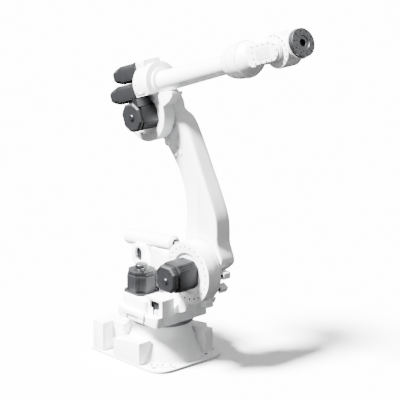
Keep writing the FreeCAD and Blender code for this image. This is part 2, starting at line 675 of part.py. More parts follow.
def wrist_motor_cap(place):
    """The tapered encoder cover on a wrist motor's rear."""
    across, up = place
    rear = CASTING_REAR - WRIST_MOTOR_LENGTH
    wide = octagon_wire(WRIST_MOTOR_SIZE - 12, WRIST_MOTOR_CHAMFER, at(rear, across, up), LEFT, UP)
    narrow = octagon_wire(WRIST_CAP_SIZE, 18.0, at(rear - WRIST_CAP_LENGTH, across, up), LEFT, UP)
    return placed(Part.makeLoft([wide, narrow], True, True), FOREARM_FRAME)


def turned(profile, x_start, x_end):
    """A solid turned about the forearm's axis: profile holds (x, radius) points of its outside."""
    points = [at(x, 0, FOREARM_RISE + radius) for x, radius in profile]
    side = spline_through(points)
    back = Part.makePolygon([at(x_start, 0, FOREARM_RISE), points[0]])
    front = Part.makePolygon([points[-1], at(x_end, 0, FOREARM_RISE), at(x_start, 0, FOREARM_RISE)])
    face = Part.Face(Part.Wire(Part.__sortEdges__([side] + back.Edges + front.Edges)))
    return face.revolve(at(x_start, 0, FOREARM_RISE), FORWARD, 360)


def forearm_tube():
    start = at(TUBE_ROOT_END, 0, FOREARM_RISE)
    tube = cone(TUBE_REAR_RADIUS, TUBE_FRONT_RADIUS, start, FORWARD, BELL_START - TUBE_ROOT_END)
    return placed(tube, FOREARM_FRAME)


def forearm_bell():
    """The housing that swells from the tube to the roll bearing."""
    span = BELL_END - BELL_START
    swell = BELL_RADIUS - TUBE_FRONT_RADIUS
    profile = [(BELL_START, TUBE_FRONT_RADIUS + 3),
               (BELL_START + 0.2 * span, TUBE_FRONT_RADIUS + 0.34 * swell),
               (BELL_START + 0.42 * span, TUBE_FRONT_RADIUS + 0.66 * swell),
               (BELL_START + 0.7 * span, TUBE_FRONT_RADIUS + 0.88 * swell), (BELL_END, BELL_RADIUS)]
    return placed(turned(profile, BELL_START, BELL_END), FOREARM_FRAME)


def wrist_seat():
    """The narrow bearing neck that shows as a groove between the bell and the drum."""
    start = at(BELL_END, 0, FOREARM_RISE)
    return placed(disc(BELL_RADIUS - 12, start, FORWARD, WRIST_SPLIT - BEARING_GAP - BELL_END), FOREARM_FRAME)


def wrist_drum():
    """The rolling drum, rounded over at its front."""
    profile = [(WRIST_SPLIT, DRUM_RADIUS - 2), (WRIST_SPLIT + 40, DRUM_RADIUS),
               (WRIST_SPLIT + 84, DRUM_RADIUS - 5),
               (DRUM_END - 16, DRUM_RADIUS - 19), (DRUM_END, DRUM_RADIUS - 37)]
    return placed(turned(profile, WRIST_SPLIT, DRUM_END), FOREARM_FRAME)


def wrist_body():
    """A box that grows out of the drum and ends in a fork about the bend axis."""
    low, high = FOREARM_RISE - WRIST_HALF_HEIGHT, FOREARM_RISE + WRIST_HALF_HEIGHT
    root = rounded(block((DRUM_END, WRIST_CHEEK_START), (-WRIST_ROOT_HALF_WIDTH, WRIST_ROOT_HALF_WIDTH),
                         (low + 6, high - 6)), FORWARD, 30.0)
    body = block((WRIST_CHEEK_START, FOREARM_LENGTH), (-WRIST_HALF_WIDTH, WRIST_HALF_WIDTH), (low, high))
    nose = disc_y(WRIST_HALF_HEIGHT, FOREARM_LENGTH, FOREARM_RISE, -WRIST_HALF_WIDTH, WRIST_HALF_WIDTH)
    gap = block((FOREARM_LENGTH - WRIST_FORK_DEPTH, FOREARM_LENGTH + 200),
                (-WRIST_FORK_INNER, WRIST_FORK_INNER), (low - 1, high + 1))
    return placed(cut(fuse(root, body, nose), gap), FOREARM_FRAME)


def wrist_cover(side):
    y_near, y_far = sorted((side * WRIST_HALF_WIDTH, side * (WRIST_HALF_WIDTH + WRIST_COVER_THICKNESS)))
    half = WRIST_HALF_HEIGHT - 8
    z = (FOREARM_RISE - half, FOREARM_RISE + half)
    plate = block((WRIST_COVER_START, FOREARM_LENGTH), (y_near, y_far), z)
    nose = disc_y(half, FOREARM_LENGTH, FOREARM_RISE, y_near, y_far)
    return placed(fuse(plate, nose), FOREARM_FRAME)


# ---- Hand and tool flange, in the hand's frame: x towards the tool ----
def hand_drum():
    drum = disc_y(HAND_DRUM_RADIUS, 0, 0, -HAND_DRUM_HALF_WIDTH, HAND_DRUM_HALF_WIDTH)
    pivot = disc_y(46, 0, 0, -WRIST_FORK_INNER + BEARING_GAP, WRIST_FORK_INNER - BEARING_GAP)
    return placed(fuse(drum, pivot), HAND_FRAME)


def hand_ring():
    shoulder = cone(HAND_RING_ROOT, HAND_RING_RADIUS, at(HAND_RING_START, 0, 0), FORWARD,
                    HAND_RING_FULL - HAND_RING_START)
    ring = disc(HAND_RING_RADIUS, at(HAND_RING_FULL, 0, 0), FORWARD, HAND_RING_END - HAND_RING_FULL)
    drum = disc_y(HAND_DRUM_RADIUS, 0, 0, -HAND_DRUM_HALF_WIDTH, HAND_DRUM_HALF_WIDTH)
    return placed(cut(fuse(shoulder, ring), drum), HAND_FRAME)


def tool_flange():
    neck_start = HAND_RING_END + BEARING_GAP
    neck = disc(FLANGE_NECK_RADIUS, at(neck_start, 0, 0), FORWARD, HAND_LENGTH - neck_start)
    rim = disc(FLANGE_RADIUS, at(HAND_LENGTH - 26, 0, 0), FORWARD, 26)
    tools = [disc(FLANGE_PILOT_RADIUS, at(HAND_LENGTH - FLANGE_PILOT_DEPTH, 0, 0), FORWARD, 20),
             disc(FLANGE_BORE_RADIUS, at(neck_start - 1, 0, 0), FORWARD, 100)]
    for y, z in ring_of(FLANGE_BOLT_COUNT, FLANGE_BOLT_CIRCLE / 2, 18.0):
        tools.append(disc(FLANGE_BOLT_RADIUS, at(HAND_LENGTH - FLANGE_BOLT_DEPTH, y, z), FORWARD, 30))
    return placed(cut(fuse(neck, rim), *tools), HAND_FRAME)


def all_pieces():
    pieces = {
        "base_casting": base_casting(),
        "base_right_box": base_front_box(-1),
        "base_left_box": base_front_box(1),
        "base_rear_box": base_rear_box(),
        "base_rear_bridge": base_rear_bridge(),
        "connector_panel": connector_panel(),
        "stop_block": stop_block(),
        "slew_ring": slew_ring(),
        "turntable_casting": turntable_casting(),
        "shoulder_housing": shoulder_housing(),
        "shoulder_gear": shoulder_gear(),
        "j1_motor": j1_motor(),
        "j1_motor_cap": j1_motor_cap(),
        "j1_connector": j1_connector(),
        "j2_motor": j2_motor(),
        "j2_motor_cap": j2_motor_cap(),
        "j2_connector": j2_connector(),
        "side_tabs": side_tabs(),
        "stop_lug": stop_lug(),
        "balancer_bracket": balancer_bracket(),
        "balancer_cylinder": balancer_cylinder(),
        "balancer_cap": balancer_cap(),
        "balancer_rod": balancer_rod(),
        "link_arm_casting": link_arm_casting(),
        "link_lower_cover": link_cover(0, LOWER_COVER_RADIUS),
        "link_upper_cover": link_cover(LINK_LENGTH, UPPER_COVER_RADIUS),
        "link_upper_lug": link_stop_lug(LUG_DROPS[0]),
        "link_lower_lug": link_stop_lug(LUG_DROPS[1]),
        "elbow_casting": elbow_casting(),
        "elbow_gear": elbow_gear(),
        "j3_motor": j3_motor(),
        "j3_motor_box": j3_motor_box(),
        "forearm_tube": forearm_tube(),
        "forearm_bell": forearm_bell(),
        "forearm_wrist_seat": wrist_seat(),
        "wrist_drum": wrist_drum(),
        "wrist_body": wrist_body(),
        "wrist_cover_right": wrist_cover(-1),
        "wrist_cover_left": wrist_cover(1),
        "hand_drum": hand_drum(),
        "hand_ring": hand_ring(),
        "tool_flange": tool_flange(),
    }
    for name, place in (("upper", UPPER_MOTOR_PLACE), ("lower", LOWER_MOTOR_PLACE)):
        pieces[name + "_wrist_motor"] = wrist_motor(place)
        pieces[name + "_wrist_motor_cap"] = wrist_motor_cap(place)
    return pieces


def main():
    os.makedirs("parts", exist_ok=True)
    for name, shape in all_pieces().items():
        shape.exportStep(os.path.join("parts", name + ".step"))


main()
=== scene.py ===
"""Looks of a six-axis industrial robot arm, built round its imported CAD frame.

Metres, in the CAD's own frame: the origin is on the floor on the slewing axis, +X is the way the arm
reaches, +Y is its left and +Z is up. Each piece rides on one CAD body: most are numpy surfaces, and
the boxed castings are CAD nodes with their edges softened.
"""

import json
import math

import bmesh
import bpy
import numpy as np
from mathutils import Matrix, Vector

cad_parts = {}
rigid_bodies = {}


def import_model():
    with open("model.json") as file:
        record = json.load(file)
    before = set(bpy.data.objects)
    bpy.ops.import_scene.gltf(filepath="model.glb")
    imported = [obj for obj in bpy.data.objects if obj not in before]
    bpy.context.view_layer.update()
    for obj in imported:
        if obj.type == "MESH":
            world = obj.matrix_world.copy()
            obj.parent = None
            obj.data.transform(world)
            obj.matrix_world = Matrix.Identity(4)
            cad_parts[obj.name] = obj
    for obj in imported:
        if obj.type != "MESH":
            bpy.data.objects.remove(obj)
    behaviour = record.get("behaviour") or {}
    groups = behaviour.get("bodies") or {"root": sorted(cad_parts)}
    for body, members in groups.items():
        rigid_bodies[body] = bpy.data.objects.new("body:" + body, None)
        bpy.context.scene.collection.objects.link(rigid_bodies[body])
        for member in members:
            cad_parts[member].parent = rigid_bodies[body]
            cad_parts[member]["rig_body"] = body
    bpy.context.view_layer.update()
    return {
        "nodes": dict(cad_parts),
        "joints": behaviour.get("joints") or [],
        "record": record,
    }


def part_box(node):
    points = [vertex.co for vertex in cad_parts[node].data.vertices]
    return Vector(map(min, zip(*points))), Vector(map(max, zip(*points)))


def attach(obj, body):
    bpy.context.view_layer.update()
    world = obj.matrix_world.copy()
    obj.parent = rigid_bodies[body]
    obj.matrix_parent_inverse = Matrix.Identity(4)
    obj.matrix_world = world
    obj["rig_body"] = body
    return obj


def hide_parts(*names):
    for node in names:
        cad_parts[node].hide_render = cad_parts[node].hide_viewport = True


bl_info = {
    "name": "Six-axis robot arm",
    "version": (1, 0, 0),
    "blender": (4, 5, 0),
    "location": "View3D > Sidebar > Robot arm",
    "description": "Builds the castings, motors, fasteners, finishes and studio of a robot arm",
    "category": "Object",
}

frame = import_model()
JOINTS = {joint["name"]: joint for joint in frame["joints"]}
NODES = frame["nodes"]


# ---- Places ----
def unit(vectors):
    """Each vector divided by its own length."""
    vectors = np.asarray(vectors, float)
    return vectors / np.linalg.norm(vectors, axis=-1, keepdims=True)


class Place:
    """An origin and three axes. Calling it takes local (x, y, z) points into the arm's frame."""

    def __init__(self, origin, forward, up=(0, 0, 1)):
        x_axis = unit(forward)
        y_axis = unit(np.cross(up, x_axis))
        self.origin = np.asarray(origin, float)
        self.axes = np.stack([x_axis, y_axis, np.cross(x_axis, y_axis)])

    def __call__(self, points):
        return self.origin + np.asarray(points, float) @ self.axes

    def shifted(self, x=0.0, y=0.0, z=0.0):
        moved = Place.__new__(Place)
        moved.origin = self([x, y, z])
        moved.axes = self.axes
        return moved

    def about(self, forward, up):
        """The same origin with other axes, given in this place's own terms."""
        return Place(self.origin, np.asarray(forward, float) @ self.axes, np.asarray(up, float) @ self.axes)


def joint_point(name):
    return np.array(JOINTS[name]["pos_m"], float)


SHOULDER_POINT = joint_point("j2_shoulder")
ELBOW_POINT = joint_point("j3_elbow")
WRIST_POINT = joint_point("j5_bend")
TOOL_POINT = joint_point("j6_flange")
FOREARM_AXIS = unit(JOINTS["j4_roll"]["axis"])
HAND_AXIS = unit(JOINTS["j6_flange"]["axis"])
ROD_AXIS = unit(JOINTS["balancer_slide"]["axis"])
LINK_AXIS = unit(ELBOW_POINT - SHOULDER_POINT)

FLOOR = Place((0, 0, 0), (1, 0, 0))
SLEWING = Place((0, 0, 0), (0, 0, 1), (1, 0, 0))
SHOULDER = Place(SHOULDER_POINT, (1, 0, 0))
LINK = Place(SHOULDER_POINT, np.cross((0, 1, 0), LINK_AXIS), LINK_AXIS)
FOREARM = Place(ELBOW_POINT, FOREARM_AXIS)
HAND = Place(WRIST_POINT, HAND_AXIS)
FOREARM_LENGTH = float((WRIST_POINT - ELBOW_POINT) @ FOREARM.axes[0])
FOREARM_RISE = float((WRIST_POINT - ELBOW_POINT) @ FOREARM.axes[2])
HAND_LENGTH = float((TOOL_POINT - WRIST_POINT) @ HAND.axes[0])
LINK_LENGTH = float(np.linalg.norm(ELBOW_POINT - SHOULDER_POINT))
ROLL = FOREARM.shifted(z=FOREARM_RISE)
SHOULDER_AXLE = SHOULDER.about((0, 1, 0), (0, 0, 1))


# ---- Settings that a user would change ----
class FinishSettings(bpy.types.PropertyGroup):
    """Colours and sheen of the arm's finishes."""

    enamel: bpy.props.FloatVectorProperty(name="Enamel", description="White paint of the castings",
                                          subtype="COLOR", default=(0.84, 0.845, 0.855))
    cover: bpy.props.FloatVectorProperty(name="Cover", description="Pale grey of the wrist's cover plates",
                                         subtype="COLOR", default=(0.62, 0.63, 0.645))
    motor: bpy.props.FloatVectorProperty(name="Motor", description="Dark grey of the servo motors",
                                         subtype="COLOR", default=(0.0065, 0.0068, 0.0076))
    connector: bpy.props.FloatVectorProperty(name="Connector", description="Black of the plugs and boxes",
                                             subtype="COLOR", default=(0.006, 0.006, 0.007))
    steel: bpy.props.FloatVectorProperty(
        name="Steel", description="Machined faces", subtype="COLOR", default=(0.23, 0.233, 0.242))
    enamel_roughness: bpy.props.FloatProperty(name="Enamel roughness",
                                              description="How matt the white paint is",
                                              subtype="FACTOR", default=0.42, min=0, max=1)
    motor_roughness: bpy.props.FloatProperty(name="Motor roughness", description="How matt the motors are",
                                             subtype="FACTOR", default=0.55, min=0, max=1)


class CastingSettings(bpy.types.PropertyGroup):
    """How finely the castings are drawn."""

    turns: bpy.props.IntProperty(
        name="Facets", description="Facets round a turned piece", default=96, min=24, max=256)


class StudioSettings(bpy.types.PropertyGroup):
    """The camera's place round the arm and the strength of the light."""

    azimuth: bpy.props.FloatProperty(
        name="Azimuth", description="Camera's angle round the arm, from its right side",
        subtype="ANGLE", default=math.radians(47.937))
    elevation: bpy.props.FloatProperty(name="Elevation", description="Camera's angle above level",
                                       subtype="ANGLE", default=math.radians(17.308))
    distance: bpy.props.FloatProperty(
        name="Distance", description="Camera to its target", unit="LENGTH", default=17.506)
    lens: bpy.props.FloatProperty(
        name="Lens", description="Focal length on a 36 mm sensor", unit="CAMERA", default=216.59)
    key: bpy.props.FloatProperty(name="Key", description="Strength of the main light", default=56.0)
    key_spread: bpy.props.FloatProperty(
        name="Key spread", description="Width of the main light as the arm sees it",
        subtype="ANGLE", default=math.radians(14))
    fill: bpy.props.FloatProperty(name="Fill", description="Power of the fill softbox in watts", default=25.0)
    ambient: bpy.props.FloatProperty(name="Ambient", description="Strength of the room's light", default=0.68)


# ---- Surfaces ----
SQUARE = ((-1, -1), (1, -1), (1, 1), (-1, 1))


class Shape:
    """Vertices with quads and flat caps, turned so that its faces point outwards."""

    def __init__(self, vertices, quads, caps=()):
        self.vertices = np.asarray(vertices, float)
        self.quads = np.asarray(quads, int)
        self.caps = [np.asarray(cap, int) for cap in caps]
        if self.volume() < 0:
            self.quads = self.quads[:, ::-1]
            self.caps = [cap[::-1] for cap in self.caps]

    def volume(self):
        """A sixth of the sum of a . (b x c) over a fan of triangles on each face."""
        fans = [self.quads[:, [0, 1, 2]], self.quads[:, [0, 2, 3]]]
        for cap in self.caps:
            fans.append(np.stack([np.full(len(cap) - 2, cap[0]), cap[1:-1], cap[2:]], 1))
        a, b, c = (self.vertices[np.concatenate(fans)[:, k]] for k in range(3))
        return float(np.einsum("ij,ij->", a, np.cross(b, c))) / 6

    def at(self, place):
        """The same surface with its points taken through a place."""
        return Shape(place(self.vertices), self.quads, self.caps)


def skin(points, ring=False):
    """A surface over a grid of points, closed round its columns. Its first and last rows become flat
    caps, or with ring they meet each other."""
    rows, columns = points.shape[:2]
    index = np.arange(rows * columns).reshape(rows, columns)
    here = index if ring else index[:-1]
    above = np.roll(index, -1, 0) if ring else index[1:]
    quads = np.stack([here, np.roll(here, -1, 1), np.roll(above, -1, 1), above], -1).reshape(-1, 4)
    caps = () if ring else (index[0][::-1], index[-1])
    return Shape(points.reshape(-1, 3), quads, caps)


def softened(points, radius, steps=5, closed=True):
    """An outline whose corners are parabolas tangent to both sides: at parameter u each is
    (1-u)^2 start + 2u(1-u) corner + u^2 end, with start and end a radius times tan(half the turn)
    from the corner, and never past the middle of a side."""
    points = np.asarray(points, float)
    before, after = np.roll(points, 1, 0), np.roll(points, -1, 0)
    into, out = points - before, after - points
    side_in = np.linalg.norm(into, axis=1)
    side_out = np.linalg.norm(out, axis=1)
    into, out = into / side_in[:, None], out / side_out[:, None]
    turn = np.arccos(np.clip((into * out).sum(1), -1, 1))
    reach = np.minimum(np.broadcast_to(radius, turn.shape) * np.tan(turn / 2),
                       0.49 * np.minimum(side_in, side_out))
    u = np.linspace(0, 1, steps)[None, :, None]
    start = (points - into * reach[:, None])[:, None]
    end = (points + out * reach[:, None])[:, None]
    bends = (1 - u) ** 2 * start + 2 * u * (1 - u) * points[:, None] + u**2 * end
    if closed:
        return bends.reshape(-1, points.shape[1])
    return np.concatenate([points[:1], bends[1:-1].reshape(-1, points.shape[1]), points[-1:]])


def flowing(points, count):
    """A smooth line through the points: a Catmull-Rom cubic between each pair, whose slope at a point
    is half the step from its neighbour before to its neighbour after."""
    points = np.asarray(points, float)
    padded = np.concatenate([2 * points[:1] - points[1:2], points, 2 * points[-1:] - points[-2:-1]])
    place = np.linspace(0, len(points) - 1, count)
    first = np.minimum(place.astype(int), len(points) - 2)
    u = (place - first)[:, None]
    p0, p1, p2, p3 = (padded[first + k] for k in range(4))
    return 0.5 * (2 * p1 + (p2 - p0) * u + (2 * p0 - 5 * p1 + 4 * p2 - p3) * u**2
                  + (3 * p1 - p0 - 3 * p2 + p3) * u**3)


def outward_normals(outline):
    """The mitre of the two neighbouring sides' outward normals at each point of a closed outline."""
    side = unit(np.roll(outline, -1, 0) - outline)
    x, z = outline[:, 0], outline[:, 1]
    area = float((x * np.roll(z, -1) - np.roll(x, -1) * z).sum())
    normal = np.stack([side[:, 1], -side[:, 0]], 1) * math.copysign(1, area)
    before = np.roll(normal, 1, 0)
    return (before + normal) / np.maximum(1 + (before * normal).sum(1, keepdims=True), 0.3)


def slab(outline, near, far, edge=0.0, steps=4):
    """An outline of (x, z) points given thickness along y, with quarter-round edges: the row at angle a
    is the outline moved in by edge (1 - sin a), at edge (1 - cos a) from the face."""
    outline = np.asarray(outline, float)
    edge = min(edge, 0.49 * abs(far - near))
    angle = np.linspace(0, math.pi / 2, steps + 1) if edge > 0 else np.array([math.pi / 2])
    inset = edge * (1 - np.sin(angle))
    depth = edge * (1 - np.cos(angle))
    insets = np.concatenate([inset, inset[::-1]])
    levels = np.concatenate([near + depth, far - depth[::-1]])
    rows = outline[None] - outward_normals(outline)[None] * insets[:, None, None]
    height = np.broadcast_to(levels[:, None], rows.shape[:2])
    return skin(np.stack([rows[..., 0], height, rows[..., 1]], -1))


def slab_up(outline, low, high, edge=0.0):
    """A slab whose outline is of (x, y) points and whose thickness runs upwards."""
    shape = slab(outline, low, high, edge)
    return Shape(shape.vertices[:, [0, 2, 1]], shape.quads, shape.caps)


def box_outline(x, z, corner=0.0, steps=5):
    """A rectangle from two pairs of limits, with softened corners."""
    points = [(x[0], z[0]), (x[1], z[0]), (x[1], z[1]), (x[0], z[1])]
    return softened(points, corner, steps) if corner > 0 else np.array(points, float)


def turned(profile, segments=None, ring=False):
    """A profile of (along x, radius) points swept once round the x axis."""
    profile = np.asarray(profile, float)
    segments = segments or bpy.context.scene.arm_castings.turns
    turn = np.arange(segments) * (2 * math.pi / segments)
    along, radius = profile[:, :1], profile[:, 1:]
    points = [np.broadcast_to(along, (len(profile), len(turn))), radius * np.cos(turn), radius * np.sin(turn)]
    return skin(np.stack(points, -1), ring=ring)


def crosswise(shape):
    """Swaps a shape's x and y, so that what ran along one runs along the other."""
    return Shape(shape.vertices[:, [1, 0, 2]], shape.quads, shape.caps)


def disc(radius, near, far, edge=0.004):
    """A turned disc about y with both edges softened."""
    profile = [(near, 0.5 * radius), (near, radius), (far, radius), (far, 0.5 * radius)]
    return crosswise(turned(softened(profile, edge, 4, closed=False)))


def many(shape, origins, directions):
    """A copy of a shape at each origin, its x axis along the direction there."""
    origins = np.asarray(origins, float).reshape(-1, 3)
    x_axis = unit(np.broadcast_to(np.asarray(directions, float), origins.shape))
    upright = np.abs(x_axis[:, 2:]) > 0.9
    aside = unit(np.cross(np.where(upright, (1.0, 0.0, 0.0), (0.0, 0.0, 1.0)), x_axis))
    axes = np.stack([x_axis, aside, np.cross(x_axis, aside)], 1)
    vertices = origins[:, None] + np.einsum("vi,kij->kvj", shape.vertices, axes)
    step = (np.arange(len(origins)) * len(shape.vertices))[:, None, None]
    quads = (shape.quads[None] + step).reshape(-1, 4)
    caps = [cap + offset for offset in step[:, 0, 0] for cap in shape.caps]
    return Shape(vertices.reshape(-1, 3), quads, caps)


def circle_points(radius, count, phase=0.0, x=0.0):
    """Points round the x axis, phase in turns of the spacing."""
    turn = (np.arange(count) + phase) * (2 * math.pi / count)
    return np.stack([np.full(count, x), radius * np.cos(turn), radius * np.sin(turn)], 1)


def cap_screw(radius):
    """A screw head with a socket: a turned profile that goes up the side, over the rim and down the hole."""
    height = 0.8 * radius
    profile = [(-0.5 * radius, radius), (height * 0.8, radius), (height, radius * 0.86),
               (height, radius * 0.5), (height * 0.35, radius * 0.46)]
    return turned(profile, segments=10)


def socket_hole(radius):
    """A plug a hair proud of the face round it. In a screw's finish it stands for a screw sunk in a hole; in
    the near-black finish it is painted shade inside an empty hole.
    """
    return turned([(-radius, radius), (0.0004, radius), (0.0004, 0.6 * radius)], segments=12)


# ---- Finishes ----
class Value:
    """A number in a material. Arithmetic on it adds Math nodes to the tree."""

    def __init__(self, tree, socket):
        self.tree = tree
        self.socket = socket

    def maths(self, operation, first, second=0.0):
        node = self.tree.nodes.new("ShaderNodeMath")
        node.operation = operation
        for entry, term in zip(node.inputs, (first, second)):
            connect(self.tree, term, entry)
        return Value(self.tree, node.outputs[0])

    def __add__(self, other):
        return self.maths("ADD", self, other)

    def __radd__(self, other):
        return self.maths("ADD", other, self)

    def __sub__(self, other):
        return self.maths("SUBTRACT", self, other)

    def __mul__(self, other):
        return self.maths("MULTIPLY", self, other)

    def __rmul__(self, other):
        return self.maths("MULTIPLY", other, self)

    def __pow__(self, other):
        return self.maths("POWER", self, other)

    def sine(self):
        return self.maths("SINE", self)


def connect(tree, term, entry):
    """Links a Value or a node's output to an input, or sets the input to a constant."""
    if isinstance(term, Value):
        term = term.socket
    if isinstance(term, bpy.types.NodeSocket):
        tree.links.new(term, entry)
    else:
        entry.default_value = term


class Finish:
    """One material and the single method that adds its nodes."""

    def __init__(self, name, **constants):
        self.material = bpy.data.materials.new(name)
        self.material.use_nodes = True
        self.tree = self.material.node_tree
        self.shader = next(node for node in self.tree.nodes if node.type == "BSDF_PRINCIPLED")
        for label, value in constants.items():
            self.shader.inputs[label.replace("_", " ")].default_value = value

    def node(self, kind, settings=None, inputs=None, output=0):
        """Adds a node, makes its settings, joins its inputs and returns one of its outputs as a Value."""
        node = self.tree.nodes.new(kind)
        for label, value in (settings or {}).items():
            setattr(node, label, value)
        for label, term in (inputs or {}).items():
            connect(self.tree, term, node.inputs[label])
        return Value(self.tree, node.outputs[output])

    def place(self):
        return self.node("ShaderNodeTexCoord", output="Object")

    def noise(self, scale, detail=2.0, roughness=0.5, vector=None):
        inputs = {"Vector": vector or self.place(), "Scale": scale, "Detail": detail, "Roughness": roughness}
        return self.node("ShaderNodeTexNoise", inputs=inputs, output=0)

    def blend(self, factor, first, second):
        """A Mix node on two colours."""
        inputs = {0: factor, 6: first, 7: second}
        return self.node("ShaderNodeMix", {"data_type": "RGBA"}, inputs, output=2)

    def ramp(self, factor, low, high):
        """0 below low and 1 above high, smooth between."""
        inputs = {"Value": factor, "From Min": low, "From Max": high}
        return self.node("ShaderNodeMapRange", {"interpolation_type": "SMOOTHSTEP"}, inputs)

    def bump(self, height, strength, distance):
        inputs = {"Height": height, "Strength": strength, "Distance": distance}
        return self.node("ShaderNodeBump", inputs=inputs)

    def feed(self, **values):
        for label, value in values.items():
            connect(self.tree, value, self.shader.inputs[label.replace("_", " ")])
        return self.material


def colour(rgb, level=1.0):
    return tuple(float(channel) * level for channel in rgb) + (1.0,)


def enamel(name, rgb, roughness, peel=0.10):
    """Sprayed enamel: faint clouding, a slight change of sheen and an orange-peel bump."""
    finish = Finish(name, Coat_Weight=0.25, Coat_Roughness=0.22)
    clouds = finish.ramp(finish.noise(3.5, 5.0, 0.6), 0.35, 0.7)
    dust = finish.ramp(finish.noise(38.0, 4.0, 0.65), 0.58, 0.80)
    paint = finish.blend(clouds * 0.5, colour(rgb), colour(rgb, 0.95))
    paint = finish.blend(dust * 0.35, paint, colour((0.60, 0.59, 0.57)))
    sheen = roughness - 0.05 + finish.noise(9.0, 3.0) * 0.12
    skin_bump = finish.bump(finish.noise(420.0, 2.0), peel, 0.0006)
    return finish.feed(Base_Color=paint, Roughness=sheen, Normal=skin_bump)


def cast_black(name, rgb, roughness, grain=0.35):
    """Powder-coated casting: fine grain, rubbed a little lighter in patches."""
    finish = Finish(name, Specular_IOR_Level=0.28)
    rubbed = finish.ramp(finish.noise(14.0, 6.0, 0.6), 0.45, 0.75)
    coat = finish.blend(rubbed * 0.6, colour(rgb), colour(rgb, 1.5))
    sheen = roughness + 0.1 * (finish.noise(60.0, 3.0) - 0.5)
    return finish.feed(Base_Color=coat, Roughness=sheen,
                       Normal=finish.bump(finish.noise(700.0, 3.0), grain, 0.0007))


def plastic(name, rgb):
    """Moulded plastic with a light spark-eroded grain."""
    finish = Finish(name)
    cloud = finish.noise(25.0, 3.0)
    tint = finish.blend(cloud, colour(rgb, 0.8), colour(rgb, 1.4))
    return finish.feed(Base_Color=tint, Roughness=0.28 + 0.14 * cloud,
                       Normal=finish.bump(finish.noise(900.0), 0.2, 0.0004))


def machined(name, rgb, place, pitch=0.0016):
    """Faced steel: fine tool rings about the x axis of a place, over a slight tarnish."""
    finish = Finish(name, Metallic=1.0)
    local = finish.place()
    centre = tuple(float(value) for value in place.origin)
    offset = finish.node("ShaderNodeVectorMath", {"operation": "SUBTRACT"}, {0: local, 1: centre})
    parts = []
    for axis in place.axes[1:]:
        direction = tuple(float(value) for value in axis)
        parts.append(finish.node("ShaderNodeVectorMath", {"operation": "DOT_PRODUCT"},
                                 {0: offset, 1: direction}, output="Value"))
    distance = (parts[0] ** 2 + parts[1] ** 2) ** 0.5
    rings = (distance * (2 * math.pi / pitch)).sine()
    tarnish = finish.ramp(finish.noise(30.0, 5.0, 0.6), 0.4, 0.75)
    tint = finish.blend(tarnish * 0.5, colour(rgb), colour(rgb, 0.72))
    sheen = 0.30 + 0.12 * tarnish
    return finish.feed(Base_Color=tint, Roughness=sheen, Normal=finish.bump(rings, 0.10, 0.0003))


def plated(name, rgb, roughness):
    """Bright or blackened plating, slightly uneven."""
    finish = Finish(name, Metallic=0.9)
    patch = finish.noise(120.0, 3.0)
    tint = finish.blend(patch, colour(rgb, 0.75), colour(rgb, 1.2))
    return finish.feed(Base_Color=tint, Roughness=roughness + 0.15 * (patch - 0.5))


def shadow_gap(name):
    """Near-black finish with faint clouding. It paints shade into the gaps between housings, into holes,
    behind the cable window and under the foot's front edge, and it is also the real black rubber of the
    balancer's wiper.
    """
    finish = Finish(name, Specular_IOR_Level=0.2)
    cloud = finish.noise(60.0, 3.0)
    tint = finish.blend(cloud, colour((0.008, 0.008, 0.009)), colour((0.02, 0.02, 0.022)))
    return finish.feed(Base_Color=tint, Roughness=0.7 + 0.1 * cloud)


def build_finish(name):
    """The builder of each named finish."""
    s = bpy.context.scene.arm_finishes
    builders = {"enamel": lambda: enamel("enamel", s.enamel, s.enamel_roughness),
                "cover_grey": lambda: enamel("cover_grey", s.cover, s.enamel_roughness + 0.05, 0.05),
                "motor_coat": lambda: cast_black("motor_coat", s.motor, s.motor_roughness),
                "connector": lambda: plastic("connector", s.connector),
                "flange_steel": lambda: machined("flange_steel", s.steel, HAND),
                "gear_steel": lambda: machined("gear_steel", (0.20, 0.20, 0.21), SHOULDER_AXLE),
                "rod_chrome": lambda: plated("rod_chrome", (0.62, 0.63, 0.65), 0.16),
                "dark_screw": lambda: plated("dark_screw", (0.045, 0.045, 0.05), 0.42),
                "seal": lambda: shadow_gap("seal")}
    return builders[name]()


def finish_of(name):
    return bpy.data.materials.get(name) or build_finish(name)


FINISH_OF_SLOT = {
    "white_paint": "enamel",
    "motor_black": "motor_coat",
    "connector_black": "connector",
    "machined_steel": "flange_steel",
    "gear_steel": "gear_steel",
}
SLOT_OF_FINISH = {
    "enamel": "white_paint",
    "cover_grey": "white_paint",
    "motor_coat": "motor_black",
    "connector": "connector_black",
    "seal": "connector_black",
    "flange_steel": "machined_steel",
}


# ---- Pieces ----
CREASE = math.radians(32)


def placed(name, data):
    """A new object that shows some data in the scene."""
    thing = bpy.data.objects.new(name, data)
    bpy.context.scene.collection.objects.link(thing)
    return thing


def piece(name, body, finish_name, shapes, replaces=(), slot=None):
    """Joins shapes into one mesh that rides on a body, and can stand for CAD nodes. Its slot argument is not
    used."""
    start = 0
    vertices = []
    faces = []
    for shape in shapes:
        vertices.append(shape.vertices)
        faces += (shape.quads + start).tolist()
        faces += [(cap + start).tolist() for cap in shape.caps]
        start += len(shape.vertices)
    mesh = bpy.data.meshes.new(name)
    mesh.from_pydata(np.concatenate(vertices), [], faces)
    mesh.shade_smooth()
    mesh.set_sharp_from_angle(angle=CREASE)
    mesh.materials.append(finish_of(finish_name))
    thing = placed(name, mesh)
    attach(thing, body)
    slot = slot or SLOT_OF_FINISH.get(finish_name)
    if replaces:
        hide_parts(*replaces)
    return thing


def lathe_about(place, profile, radius=0.004, **options):
    """A profile with softened corners, turned about a place's x axis."""
    return turned(softened(profile, radius, 4, closed=False), **options).at(place)


# ---- Forearm ----
TUBE_REAR, TUBE_FRONT = 0.218, 0.935
TUBE_RADII = (0.077, 0.067)


